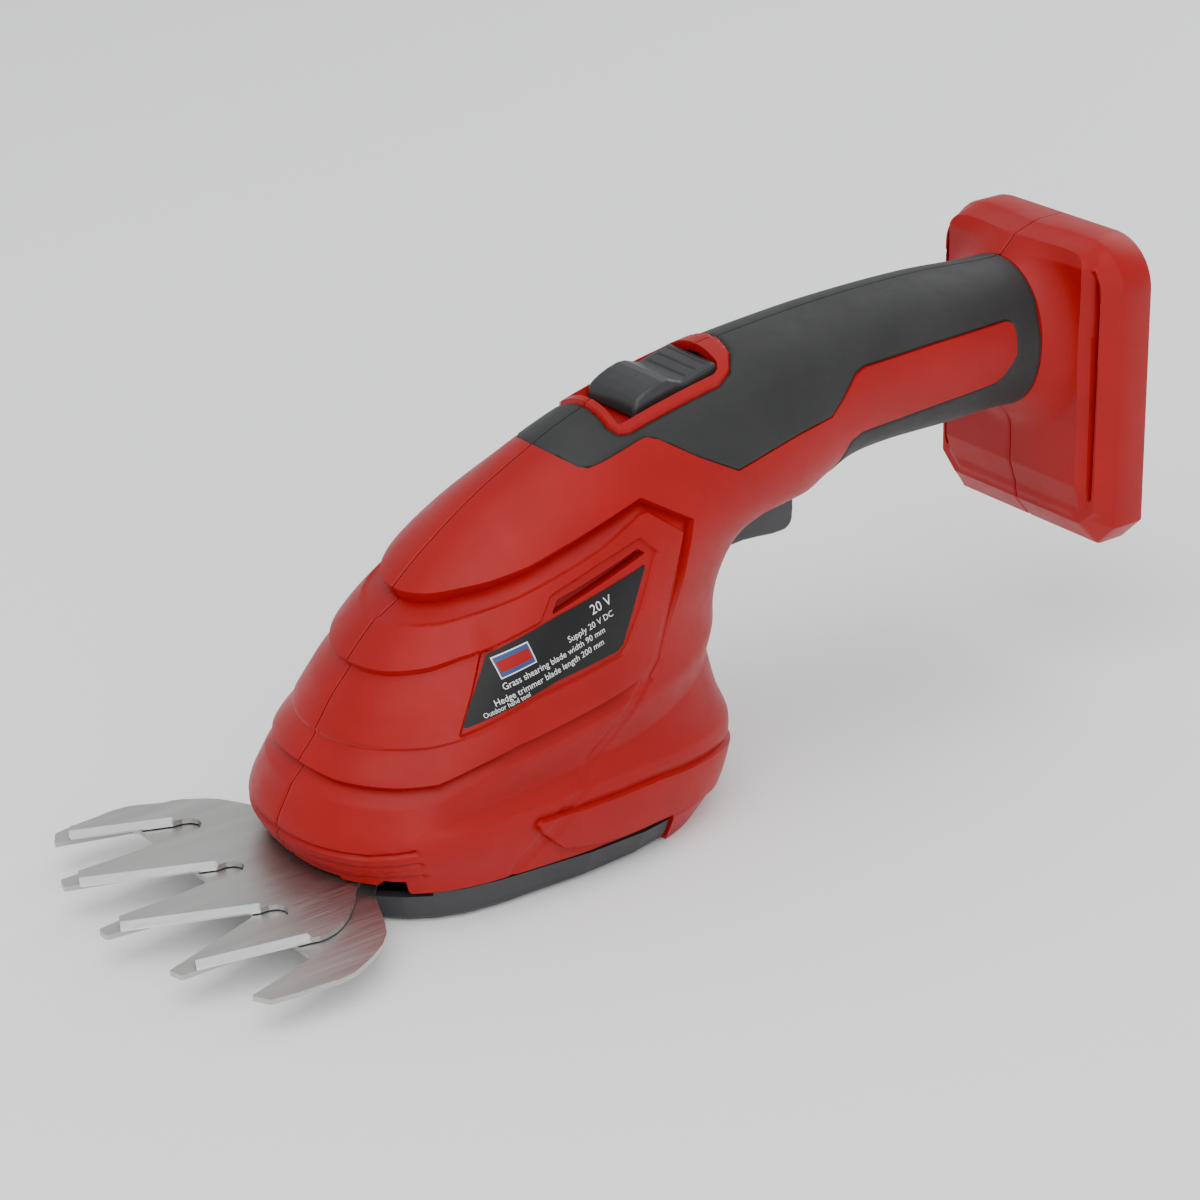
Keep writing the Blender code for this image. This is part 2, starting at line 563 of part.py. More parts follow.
def build():
    clear_scene()
    parts = collection("grass_shears")
    m = {name: material(name) for name in COLOURS}

    housing_half("housing_left", 1, parts, m["red_shell"])
    housing_half("housing_right", -1, parts, m["red_shell"])
    for side, word in ((1, "left"), (-1, "right")):
        skin("grip_" + word, side, GRIP_EDGE, 6.5, 15.0, 0.0, SKIN, 0.0, LOCK_FRAME, parts, m["soft_grip"])
        skin("label_" + word, side, LABEL_EDGE, 2.5, 6.75, 0.0, 0.5, 0.0, None, parts, m["label_black"])
    for i, (y, z, reach) in enumerate(SCREW_SPOTS):
        screw(f"housing_screw_{i + 1}", (2 - reach + 1.2 - GAP, y, z), (1, 0, 0), SCREW_TIP + reach - 3.2,
              SCREW_R, SCREW_HEAD_R, 2.0, parts, m["black_steel"])

    sole_cover(parts, m["dark_plastic"])
    for i, (x, y) in enumerate(COVER_SCREWS):
        screw(f"cover_screw_{i + 1}", (x, y, -6.6 - GAP), (0, 0, 1), 12.6, SCREW_R, SCREW_HEAD_R, 1.0,
              parts, m["black_steel"])
    plate("blade_base", rounded_rect(-15, 15, 58.5, 96, 4), -3.6, -1.5, [(3.3, 0, PIVOT_Y)], parts,
          m["black_steel"])
    lower_blade(parts, m["blade_steel"])
    upper_blade(parts, m["blade_steel"])
    drive_fork(parts, m["bright_steel"])
    for i, (x, y) in enumerate(RIVETS):
        add_object(f"fork_rivet_{i + 1}", hole_at(1.5, x, y, 0.35, 3.65, 12), parts, m["bright_steel"], PIVOT)
    bolt = join(hole_at(5.4, 0, PIVOT_Y, -5.4, -3.9, 6))
    obj = add_object("pivot_bolt", bolt, parts, m["black_steel"])
    boolean(obj, as_cutter("pivot_bolt_shank", hole_at(3.0, 0, PIVOT_Y, -4.2, 11.0, 20)), "UNION")
    nut = add_object("pivot_nut", hole_at(5.4, 0, PIVOT_Y, 7.6, 10.4, 6), parts, m["bright_steel"])
    boolean(nut, as_cutter("pivot_nut_bore", hole_at(3.3, 0, PIVOT_Y, 7, 11)), "DIFFERENCE")
    plate("pivot_washer", circle(6.2, (0, PIVOT_Y)), 6.3, 7.3, [(3.3, 0, PIVOT_Y)], parts,
          m["bright_steel"])

    plate("bearing_plate", rounded_rect(-23, 23, 66, 140.5, 5), 4.0, 6.0,
          [(3.3, 0, PIVOT_Y), (7.9, 0, GEAR_Y), (2.2, 0, IDLER_Y)]
          + [(SCREW_R + GAP, x, y) for x, y in COVER_SCREWS], parts, m["bright_steel"])
    drive_gear(parts, m["gear_nylon"])
    idler_gear(parts, m["gear_nylon"])
    add_object("drive_axle", hole_at(2.5, 0, GEAR_Y, 9.8, 17.0, 20), parts, m["bright_steel"])
    add_object("idler_axle", hole_at(1.9, 0, IDLER_Y, 3.7, 26.0, 16), parts, m["bright_steel"])
    plate("gear_frame", rounded_rect(-23, 23, 73, 140.5, 5), 14.0, 16.4,
          [(2.8, 0, GEAR_Y), (5.2, 0, IDLER_Y)], parts, m["dark_plastic"],
          [(x, y, 6.3, 26.0) for x, y in POSTS])
    plate("motor_plate", rounded_rect(-23, 23, 73, 140.5, 5), 26.3, 28.3,
          [(5.6, 0, MOTOR_Y)] + [(SCREW_R + GAP, x, MOTOR_Y) for x in (9.5, -9.5)], parts, m["bright_steel"])

    can = add_object("motor_can", hole_at(13.9, 0, MOTOR_Y, 28.6, 58.0, 36), parts, m["bright_steel"])
    cavity = join(hole_at(12.9, 0, MOTOR_Y, 30.0, 60.0, 36))
    boolean(can, as_cutter("motor_can_cavity", cavity), "DIFFERENCE")
    boolean(can, as_cutter("motor_can_bore", hole_at(2.2, 0, MOTOR_Y, 25.0, 35.0, 16)), "DIFFERENCE")
    boolean(can, as_cutter("motor_can_threads", join(*[hole_at(SCREW_R + GAP, x, MOTOR_Y, 25, 35, 12)
                                                       for x in (9.5, -9.5)])), "DIFFERENCE")
    cap = add_object("motor_end_cap", hole_at(13.5, 0, MOTOR_Y, 58.3, 61.5, 36), parts, m["dark_plastic"])
    boolean(cap, as_cutter("motor_cap_boss", hole_at(5.0, 0, MOTOR_Y, 61.0, 65.0, 20)), "UNION")
    boolean(cap, as_cutter("motor_cap_bore", hole_at(1.8, 0, MOTOR_Y, 50.0, 63.5, 16)), "DIFFERENCE")
    rotor = add_object("motor_rotor", hole_at(10.5, 0, MOTOR_Y, 33.0, 54.0, 24), parts, m["black_steel"],
                       (0, MOTOR_Y, 20.0))
    boolean(rotor, as_cutter("motor_shaft_core", hole_at(1.5, 0, MOTOR_Y, 17.6, 62.5, 16)), "UNION")
    pinion = prism(shifted(gear_outline(10, 0.8, 108), 0, MOTOR_Y), 18.0, 23.8)
    pinion = add_object("motor_pinion", pinion, parts, m["brass"], (0, MOTOR_Y, 20.0))
    boolean(pinion, as_cutter("motor_pinion_bore", hole_at(1.8, 0, MOTOR_Y, 10, 30, 16)), "DIFFERENCE")
    for i, x in enumerate((9.5, -9.5)):
        screw(f"motor_screw_{i + 1}", (x, MOTOR_Y, 26.0), (0, 0, 1), 5.5, SCREW_R, SCREW_HEAD_R, 1.2,
              parts, m["black_steel"])

    trigger_and_switch(parts, m)
    lock_slide(parts, m)
    battery_terminals(parts, m)


def trigger_and_switch(parts, m):
    py, pz = TRIGGER_PIVOT
    outline = [(157.8, 58.5), (158.5, 66.2), (164.0, 66.6), (185.6, 63.8), (186.0, 51.0), (185.0, 48.4),
               (182.0, 47.1), (176.0, 47.3), (164.5, 47.0), (162.4, 48.6), (161.0, 54.0)]
    trigger = add_object("trigger", prism(outline, -7.0, 7.0, "X"), parts, m["dark_plastic"], (0, py, pz))
    boolean(trigger, as_cutter("trigger_bore", cylinder(1.8, (-12, py, pz), (12, py, pz), 16)), "DIFFERENCE")
    add_object("trigger_pin", cylinder(1.5, (-9.5, py, pz), (9.5, py, pz), 16), parts, m["bright_steel"])
    coil("trigger_spring", (0, 180.5, 65.4), (0, 180.5, 73.6), 2.4, 0.35, 5, parts, m["bright_steel"])
    switch = add_object("switch_body", box(-5.2, 5.2, 163.5, 184.5, 74.2, 84.0), parts, m["switch_black"])
    boolean(switch, as_cutter("switch_hole", box(-1.9, 1.9, 168.1, 171.9, 70, 78.5)), "DIFFERENCE")
    add_object("switch_plunger", box(-1.6, 1.6, 168.4, 171.6, 66.5, 76.0), parts, m["brass"], (0, 170.0, 66.5))
    for i, y in enumerate((166.0, 174.0, 182.0)):
        add_object(f"switch_tab_{i + 1}", box(-2.4, 2.4, y - 0.4, y + 0.4, 84.3, 88.5), parts, m["brass"])


def lock_slide(parts, m):
    top = [(136.5, 87.4), (136.7, 90.4), (138.4, 93.0), (141.2, 94.9), (145.4, 95.9), (152.0, 96.2),
           (158.5, 97.0), (160.6, 96.3), (161.2, 93.6), (161.2, 91.0)]
    obj = add_object("lock_slide", prism(top, -8.8, 8.8, "X"), parts, m["dark_plastic"], (0, 149.0, 92.0))
    boolean(obj, as_cutter("lock_slide_stem", box(-3.6, 3.6, 146.0, 151.0, 80.0, 91.0)), "UNION")
    coil("lock_spring", (0, 134.6, 81.2), (0, 145.4, 83.6), 1.4, 0.3, 6, parts, m["bright_steel"])
    guide = [(131.2, 84.0), (131.2, 85.6), (161.7, 90.2), (161.7, 88.6)]
    guide_plate = add_object("lock_guide", prism(guide, -9.2, 9.2, "X"), parts, m["dark_plastic"])
    boolean(guide_plate, as_cutter("lock_guide_slot", box(-3.9, 3.9, 140.5, 151.4, 80, 95)), "DIFFERENCE")


def battery_terminals(parts, m):
    block = add_object("terminal_block", box(-18.4, 18.4, 269.8, 273.6, 48.0, 88.0), parts, m["dark_plastic"])
    boolean(block, as_cutter("terminal_block_step", box(-11.0, 11.0, 268.6, 271.0, 58.0, 80.0)), "UNION")
    for name, x in (("positive", 9.0), ("signal", 0.0), ("negative", -9.0)):
        add_object("terminal_" + name, box(x - 0.5, x + 0.5, 273.9, 279.5, 58.0, 80.0), parts, m["brass"])
    for side, word in ((1, "left"), (-1, "right")):
        x0, x1 = sorted((side * 16.0, side * 18.4))
        add_object("battery_rail_" + word, box(x0, x1, 273.9, 279.5, 48.0, 88.0), parts, m["bright_steel"])


CUTTERS = collection("cutters")
build()
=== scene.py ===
"""Looks for the cordless battery grass shears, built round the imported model.

Lengths in the shape code are millimetres, y from the tip of the centre tooth and z from the top face of
the fixed blade. world() turns them into the model's frame, in metres.
"""

import json
import math

import bmesh
import bpy
import numpy as np
from mathutils import Matrix, Vector
from mathutils.bvhtree import BVHTree

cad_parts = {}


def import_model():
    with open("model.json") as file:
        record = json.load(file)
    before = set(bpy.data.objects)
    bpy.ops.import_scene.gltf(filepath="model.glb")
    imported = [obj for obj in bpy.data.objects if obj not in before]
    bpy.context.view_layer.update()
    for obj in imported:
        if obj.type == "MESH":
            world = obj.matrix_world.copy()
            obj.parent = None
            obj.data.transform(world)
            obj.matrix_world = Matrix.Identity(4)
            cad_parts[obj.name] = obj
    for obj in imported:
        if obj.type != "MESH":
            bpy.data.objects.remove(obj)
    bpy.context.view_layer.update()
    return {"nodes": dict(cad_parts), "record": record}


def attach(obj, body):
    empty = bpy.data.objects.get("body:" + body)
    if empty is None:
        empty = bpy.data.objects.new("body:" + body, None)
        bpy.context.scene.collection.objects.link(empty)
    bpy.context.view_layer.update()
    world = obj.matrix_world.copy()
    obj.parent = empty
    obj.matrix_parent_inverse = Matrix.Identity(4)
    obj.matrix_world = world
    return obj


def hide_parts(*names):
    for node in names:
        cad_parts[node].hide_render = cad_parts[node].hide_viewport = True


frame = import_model()
nodes = frame["nodes"]

PIVOT_Y = 80.5
SOLE_Z = -8.0
SEAM = 0.12         # half the width of the groove between the two halves
JOIN = 0.01         # the halves meet this close to the middle plane, behind that groove
SHELL_WALL = 2.2
GRIP_WALL = 1.0
FOOT_WALL = 2.0
ON_EDGE = 0.03      # a grid point this close to an outline lies on it
HANDLE_V = 9.7      # section number where the body's fine grid gives way to the handle's
NECK_V = 15.0       # section number where the handle meets the battery foot
TOP_Z = 80          # outlines seen from above are cut into the body only over this height
FOOT_LEAN = 0.042
FOOT_MID_Z = 66.0
REST_SWING = -5.67  # degrees from the swing's middle at rest
ORIGIN = np.array([0.0, PIVOT_Y, SOLE_Z])

# front/top point, rear/under point, half width, widest place, roundness front and rear, rear widening
SECTIONS = [
    ((50.5, -8.0), (153.0, -8.0), 31.8, .30, 2.3, 2.6, .22),
    ((48.4, 1.5), (158.0, -0.5), 33.0, .30, 2.35, 2.6, .32),
    ((44.0, 10.5), (162.5, 10.0), 34.6, .30, 2.3, 2.5, .22),
    ((47.6, 19.0), (161.0, 19.0), 33.6, .32, 2.3, 2.4, .15),
    ((54.5, 30.5), (160.0, 29.0), 31.7, .36, 2.2, 2.4, .10),
    ((64.0, 44.8), (160.5, 40.0), 29.3, .42, 2.15, 2.3, .0),
    ((76.0, 57.8), (163.5, 48.0), 27.3, .48, 2.1, 2.2, .0),
    ((91.0, 71.0), (169.0, 53.0), 25.0, .52, 2.0, 2.1, .0),
    ((107.0, 80.3), (176.0, 54.5), 23.0, .55, 2.0, 2.0, .0),
    ((124.0, 87.7), (183.0, 54.5), 21.3, .56, 2.0, 2.0, .0),
    ((142.0, 92.9), (190.0, 55.0), 20.0, .56, 2.0, 2.0, .0),
    ((161.0, 96.5), (196.0, 57.5), 18.8, .54, 2.0, 2.0, .0),
    ((181.0, 98.6), (203.0, 60.5), 17.6, .52, 2.0, 2.1, .0),
    ((202.0, 99.9), (214.0, 61.5), 16.8, .50, 2.0, 2.2, .0),
    ((228.0, 100.2), (231.0, 61.4), 16.2, .50, 2.0, 2.3, .0),
    ((257.0, 98.9), (257.0, 60.9), 16.2, .50, 2.0, 2.3, .0),
    ((267.0, 103.0), (268.0, 55.0), 21.0, .50, 2.2, 2.3, .0),
]
STATIONS = np.array([[*f, *r, *rest] for f, r, *rest in SECTIONS])


def world(points):
    """Millimetres in the measuring frame to metres in the model's frame."""
    return (np.asarray(points, float) - ORIGIN) * 0.001


# ---- the body's surface ----
def stations(v):
    """Catmull-Rom through the sections at each v."""
    v = np.atleast_1d(np.asarray(v, float))
    count = len(STATIONS)
    i = np.clip(np.floor(v).astype(int), 0, count - 2)
    t = (v - i)[:, None]
    padded = np.vstack([2 * STATIONS[0] - STATIONS[1], STATIONS, 2 * STATIONS[-1] - STATIONS[-2]])
    p0, p1, p2, p3 = padded[i], padded[i + 1], padded[i + 2], padded[i + 3]
    return .5 * (2 * p1 + (p2 - p0) * t + (2 * p0 - 5 * p1 + 4 * p2 - p3) * t * t
                 + (3 * p1 - p0 - 3 * p2 + p3) * t ** 3)


def fan(v, share, side=1, fine=360):
    """Points of the body's surface: rows of v, columns at shares of each section's length."""
    s = stations(v)
    angle = np.linspace(0, math.pi, fine)
    front = angle <= math.pi / 2
    rows = []
    for fy, fz, ry, rz, width, widest, nf, nr, taper in s:
        n = np.where(front, nf, nr)
        across = np.abs(np.sin(angle)) ** (2 / n)
        reach = np.abs(np.cos(angle)) ** (2 / n)
        along = np.where(front, widest * (1 - reach), widest + (1 - widest) * reach)
        x = width * across * (1 + taper * (along - widest))
        y = fy + (ry - fy) * along
        z = fz + (rz - fz) * along
        steps = np.sqrt(np.diff(x) ** 2 + np.diff(y) ** 2 + np.diff(z) ** 2)
        length = np.concatenate([[0], np.cumsum(steps)])
        at = share * length[-1]
        rows.append(np.stack([np.interp(at, length, axis) for axis in (x, y, z)], -1))
    points = np.array(rows)
    points[..., 0] = np.maximum(points[..., 0], SEAM) * side
    return points


def grid_normals(points, side):
    """Outward unit normals of a grid of points."""
    a = np.gradient(points, axis=0)
    b = np.gradient(points, axis=1)
    n = np.cross(b, a) * side
    return n / np.maximum(np.linalg.norm(n, axis=-1, keepdims=True), 1e-9)


# ---- distances in the side view ----
def to_line(y, z, line, closed=False):
    """Signed distance from side-view points to a line, its direction, and the place along it.

    Left of the line's direction is positive; on a closed line inside is positive.
    """
    pts = np.array(line, float)
    if closed:
        pts = np.vstack([pts, pts[:1]])
    best = np.full(y.shape, 1e9)
    gy = np.zeros(y.shape)
    gz = np.zeros(y.shape)
    place = np.zeros(y.shape)
    inside = np.zeros(y.shape, bool)
    sign = np.ones(y.shape)
    run = 0.0
    for (ay, az), (by, bz) in zip(pts, pts[1:]):
        dy, dz = by - ay, bz - az
        length = math.hypot(dy, dz)
        t = np.clip(((y - ay) * dy + (z - az) * dz) / length ** 2, 0, 1)
        oy = y - (ay + t * dy)
        oz = z - (az + t * dz)
        d = np.hypot(oy, oz)
        better = d < best - 1e-9
        best = np.where(better, d, best)
        gy = np.where(better, oy, gy)
        gz = np.where(better, oz, gz)
        place = np.where(better, run + t * length, place)
        sign = np.where(better, np.where(dy * (z - az) - dz * (y - ay) >= 0, 1.0, -1.0), sign)
        if closed:
            cross = ((az > z) != (bz > z)) & (y < (by - ay) * (z - az) / ((bz - az) or 1e-12) + ay)
            inside ^= cross
        run += length
    if closed:
        sign = np.where(inside, 1.0, -1.0)
    norm = np.maximum(best, 1e-9)
    return best * sign, gy / norm * sign, gz / norm * sign, place, run


def smooth(t):
    """0 to 1 with level ends."""
    t = np.clip(t, 0, 1)
    return t * t * (3 - 2 * t)


def snap(points, normals, held, line, closed, levels, axes=(1, 2), where=True):
    """Slide the grid points nearest to a flat line, seen along the third axis, over the surface on to it."""
    i, j = axes
    for level in levels:
        d, gi, gj, _, _ = to_line(points[..., i], points[..., j], line, closed)
        d = d - level
        near = np.zeros(d.shape, bool)
        for low, high in ((np.s_[:-1, :], np.s_[1:, :]), (np.s_[:, :-1], np.s_[:, 1:])):
            cross = d[low] * d[high] < 0
            lower = np.abs(d[low]) <= np.abs(d[high])
            near[low] |= cross & lower
            near[high] |= cross & ~lower
        g = np.zeros(points.shape)
        g[..., i] = gi
        g[..., j] = gj
        g -= normals * np.sum(g * normals, -1, keepdims=True)
        size = np.sum(g * g, -1)
        move = near & ~held & (size > 0.08) & (np.abs(d) < 0.9) & where
        away = d / np.maximum(size, 1e-6)
        points[move] -= (g * away[..., None])[move]
        held |= move


# ---- mesh building ----
def add_piece(name, mesh, mats, body, replaces, smooth_angle):
    """A piece that rides a body; edges sharper than smooth_angle, in degrees, stay sharp."""
    for mat in mats:
        mesh.materials.append(mat)
    mesh.polygons.foreach_set("use_smooth", np.ones(len(mesh.polygons), bool))
    mesh.set_sharp_from_angle(angle=math.radians(smooth_angle))
    obj = bpy.data.objects.new(name, mesh)
    bpy.context.scene.collection.objects.link(obj)
    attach(obj, body)
    if replaces:
        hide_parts(*replaces)
    return obj


def mesh_object(name, verts, faces, mats, body, replaces=(), smooth_angle=38, pick=None):
    """A piece from points in millimetres and arrays of faces; pick gives each face its material's number."""
    mesh = bpy.data.meshes.new(name)
    faces = [np.asarray(f, int) for f in faces if len(f)]
    spots = world(verts)
    mesh.vertices.add(len(spots))
    mesh.vertices.foreach_set("co", spots.astype(np.float32).ravel())
    sizes = np.concatenate([np.full(len(f), f.shape[1]) for f in faces])
    mesh.loops.add(int(sizes.sum()))
    mesh.loops.foreach_set("vertex_index", np.concatenate([f.ravel() for f in faces]))
    mesh.polygons.add(len(sizes))
    mesh.polygons.foreach_set("loop_start", np.concatenate([[0], np.cumsum(sizes)[:-1]]))
    if pick:
        middles = np.concatenate([np.asarray(verts)[f].mean(1) for f in faces])
        mesh.polygons.foreach_set("material_index", pick(middles).astype(int))
    mesh.update(calc_edges=True)
    mesh.validate()
    return add_piece(name, mesh, mats, body, replaces, smooth_angle)


def from_bmesh(name, bm, mats, body, replaces=(), smooth_angle=35):
    """A piece from a bmesh in millimetres."""
    for vert in bm.verts:
        vert.co = Vector(world(vert.co))
    bmesh.ops.recalc_face_normals(bm, faces=bm.faces)
    mesh = bpy.data.meshes.new(name)
    bm.to_mesh(mesh)
    bm.free()
    return add_piece(name, mesh, mats, body, replaces, smooth_angle)


def quads_of(rows, cols, start=0):
    """The faces of a grid of points, numbered row by row."""
    index = np.arange(rows * cols).reshape(rows, cols) + start
    return np.stack([index[:-1, :-1], index[:-1, 1:], index[1:, 1:], index[1:, :-1]], -1).reshape(-1, 4)


NO_TRIS = np.zeros((0, 3), int)


def trimmed(points, keep, held, quads, tris, flip, rims, back=False):
    """The faces of a grid where keep is positive, with walls from their border through the rings in rims.

    A quad with two held corners opposite each other is cut along that diagonal, so that edges stay sharp.
    With back the last ring carries the faces again, turned round, and closes the piece.
    """
    value = np.where(np.abs(keep) < 1e-4, 0, keep)
    corner, fixed = value[quads], held[quads]
    one = fixed[:, 0] & fixed[:, 2] & ~(fixed[:, 1] & fixed[:, 3])
    two = fixed[:, 1] & fixed[:, 3] & ~(fixed[:, 0] & fixed[:, 2])
    cut = one | two | ((corner.min(1) < 0) & (corner.max(1) > 0))
    whole = quads[~cut & (corner.max(1) > 0)]
    other = two[cut][:, None]
    c = quads[cut]
    tri = np.vstack([tris, np.where(other, c[:, [0, 1, 3]], c[:, [0, 1, 2]]),
                     np.where(other, c[:, [1, 2, 3]], c[:, [0, 2, 3]])])
    tri = tri[value[tri].sum(1) > 1e-9]
    if flip:
        whole, tri = whole[:, ::-1], tri[:, ::-1]
    heads = np.concatenate([whole.ravel(), tri.ravel()])
    tails = np.concatenate([np.roll(whole, -1, 1).ravel(), np.roll(tri, -1, 1).ravel()])
    size = len(points)
    border = ~np.isin(heads * size + tails, tails * size + heads)
    heads, tails = heads[border], tails[border]
    used = np.unique(np.concatenate([whole.ravel(), tri.ravel()]))
    rim = np.unique(heads)
    first = np.full(size, -1)
    first[used] = np.arange(len(used))
    verts, faces, last, count = [points[used]], [first[whole], first[tri]], first, len(used)
    for number, ring in enumerate(rims):
        who = used if back and number == len(rims) - 1 else rim
        here = np.full(size, -1)
        here[who] = count + np.arange(len(who))
        count += len(who)
        verts.append(ring[who])
        faces.append(np.stack([last[tails], last[heads], here[heads], here[tails]], -1))
        last = here
    if back:
        faces += [last[whole][:, ::-1], last[tri][:, ::-1]]
    return np.vstack(verts), faces


def cut_grid(grid, keep, held, flip, under, back=False):
    """trimmed() for a whole grid of points and the ring of points under it."""
    return trimmed(grid.reshape(-1, 3), keep.ravel(), held.ravel(), quads_of(*grid.shape[:2]), NO_TRIS, flip,
                   [under.reshape(-1, 3)], back)


def on_edge(keep, near=ON_EDGE):
    """The same distances, with those close to the outline set to nought."""
    keep = keep.copy()
    keep[np.abs(keep) < near] = 0
    return keep


def resample(line, step, closed=False):
    """Points at an even step along a line, its corners kept."""
    pts = [np.array(p, float) for p in line]
    pairs = list(zip(pts, pts[1:] + pts[:1])) if closed else list(zip(pts, pts[1:]))
    out = []
    for a, b in pairs:
        count = max(1, round(np.linalg.norm(b - a) / step))
        out += [a + (b - a) * k / count for k in range(count)]
    return np.array(out if closed else out + [pts[-1]])


def arc(cx, cy, radius, start, end, count):
    """Points on an arc between two angles in degrees."""
    angles = np.radians(np.linspace(start, end, count))
    return [(cx + radius * math.cos(a), cy + radius * math.sin(a)) for a in angles]


def both(half):
    """A closed outline from its half with positive first coordinates; points on the axis aren't doubled."""
    return half + [(-a, b) for a, b in reversed(half) if a]


def rows_between(first, last, step):
    """Values of v whose front points lie evenly spaced."""
    fine = np.linspace(first, last, 500)
    run = np.concatenate([[0], np.cumsum(np.hypot(*np.diff(stations(fine)[:, :2], axis=0).T))])
    return np.interp(np.linspace(0, run[-1], round(run[-1] / step) + 1), run, fine)


def flat_grid(x0, x1, y0, y1, step):
    """A level grid of points at an even step, at height nought."""
    xs = np.linspace(x0, x1, round((x1 - x0) / step) + 1)
    ys = np.linspace(y0, y1, round((y1 - y0) / step) + 1)
    grid = np.zeros((len(ys), len(xs), 3))
    grid[..., 0] = xs
    grid[..., 1] = ys[:, None]
    return grid


def upward(grid):
    """Normals that all point along the third axis."""
    normals = np.zeros(grid.shape)
    normals[..., 2] = 1
    return normals


# ---- materials ----
def nodes_of(name, colour, rough, metallic=0.0):
    """A new material, its tree, its shader and the object's own coordinates."""
    mat = bpy.data.materials.new(name)
    mat.use_nodes = True
    tree = mat.node_tree
    shader = tree.nodes["Principled BSDF"]
    shader.inputs["Base Color"].default_value = (*colour, 1)
    shader.inputs["Roughness"].default_value = rough
    shader.inputs["Metallic"].default_value = metallic
    mat.diffuse_color = (*colour, 1)
    coord = tree.nodes.new("ShaderNodeTexCoord")
    return mat, tree, shader, coord.outputs["Object"]


def noise(tree, vector, scale, detail=3.0, roughness=0.55):
    """Noise; a larger scale gives a finer pattern."""
    node = tree.nodes.new("ShaderNodeTexNoise")
    node.inputs["Scale"].default_value = scale
    node.inputs["Detail"].default_value = detail
    node.inputs["Roughness"].default_value = roughness
    tree.links.new(vector, node.inputs["Vector"])
    return node.outputs["Fac"]


def ramp(tree, factor, low, high, a=0.0, b=1.0):
    """Map a factor to a colour or a grey between two ends."""
    node = tree.nodes.new("ShaderNodeValToRGB")
    for element, position, value in zip(node.color_ramp.elements, (a, b), (low, high)):
        element.position = position
        element.color = (*value, 1) if hasattr(value, "__len__") else (value, value, value, 1)
    tree.links.new(factor, node.inputs["Fac"])
    return node.outputs["Color"]


def bump(tree, shader, heights):
    """Chain bump nodes: (height, distance in metres, strength)."""
    last = None
    for height, distance, strength in heights:
        node = tree.nodes.new("ShaderNodeBump")
        node.inputs["Distance"].default_value = distance
        node.inputs["Strength"].default_value = strength
        tree.links.new(height, node.inputs["Height"])
        if last:
            tree.links.new(last, node.inputs["Normal"])
        last = node.outputs["Normal"]
    tree.links.new(last, shader.inputs["Normal"])


def stretched(tree, vector, scale, turn=(0, 0, 0)):
    """Coordinates stretched along an axis, for lines in a sheet."""
    node = tree.nodes.new("ShaderNodeMapping")
    node.inputs["Scale"].default_value = scale
    node.inputs["Rotation"].default_value = turn
    tree.links.new(vector, node.inputs["Vector"])
    return node.outputs["Vector"]


def moulded(name, dark, light, rough, grain, grain_depth, specular=0.5):
    """Moulded plastic or rubber: spark-eroded grain, faint blotches and uneven gloss."""
    mat, tree, shader, at = nodes_of(name, [(a + b) / 2 for a, b in zip(dark, light)], rough)
    blotch = noise(tree, at, 45, 4)
    tree.links.new(ramp(tree, blotch, dark, light, 0.3, 0.7), shader.inputs["Base Color"])
    gloss = noise(tree, at, 160, 5, 0.65)
    tree.links.new(ramp(tree, gloss, rough - 0.05, rough + 0.06, 0.3, 0.7), shader.inputs["Roughness"])
    bump(tree, shader, [(noise(tree, at, grain, 2, 0.5), grain_depth, 0.5),
                        (noise(tree, at, 90, 2), 0.00025, 0.12)])
    shader.inputs["Specular IOR Level"].default_value = specular
    return mat


def steel(name, dark, light, rough, along, turn=0.0, lines=1800):
    """Rolled or ground steel, with fine lines along one direction in the sheet."""
    mat, tree, shader, at = nodes_of(name, light, rough, 1.0)
    scale = (1, 0.03, 1) if along == "Y" else (0.03, 1, 1)
    run = stretched(tree, at, scale, (0, 0, turn))
    fine = noise(tree, run, lines, 4, 0.7)
    broad = noise(tree, run, 240, 3, 0.6)
    tree.links.new(ramp(tree, broad, dark, light, 0.25, 0.75), shader.inputs["Base Color"])
    tree.links.new(ramp(tree, fine, rough - 0.08, rough + 0.1, 0.3, 0.7), shader.inputs["Roughness"])
    bump(tree, shader, [(fine, 0.00003, 0.35), (noise(tree, at, 60, 2), 0.0002, 0.08)])
    return mat


RED = moulded("red_shell_plastic", (0.275, 0.0008, 0.001), (0.33, 0.0014, 0.0016), 0.44, 2600, 0.00004, 0.26)
GRIP = moulded("soft_grip_rubber", (0.018, 0.018, 0.018), (0.026, 0.026, 0.0255), 0.58, 2200, 0.00006, 0.32)
DARK = moulded("charcoal_plastic", (0.026, 0.027, 0.029), (0.036, 0.037, 0.040), 0.46, 2000, 0.00005, 0.4)
BUTTON = moulded("button_plastic", (0.016, 0.016, 0.017), (0.024, 0.024, 0.026), 0.42, 2400, 0.00004)
BLACK = moulded("black_plastic", (0.010, 0.010, 0.011), (0.016, 0.016, 0.017), 0.45, 2400, 0.00003)
FILM = moulded("label_film", (0.005, 0.005, 0.0052), (0.008, 0.008, 0.0082), 0.42, 3000, 0.00001, 0.3)
PRINT = moulded("label_print_white", (0.72, 0.72, 0.72), (0.80, 0.80, 0.80), 0.4, 3000, 0.00001)
PRINT_BLUE = moulded("label_print_blue", (0.010, 0.045, 0.16), (0.014, 0.055, 0.19), 0.35, 3000, 0.00001)
BLADE = steel("rolled_blade_steel", (0.44, 0.43, 0.41), (0.56, 0.55, 0.53), 0.42, "Y")
GROUND = steel("ground_edge_steel", (0.84, 0.84, 0.83), (0.93, 0.93, 0.92), 0.34, "Y", 0.0, 900)
BRIGHT = steel("plain_steel", (0.52, 0.52, 0.52), (0.66, 0.66, 0.66), 0.28, "Y")
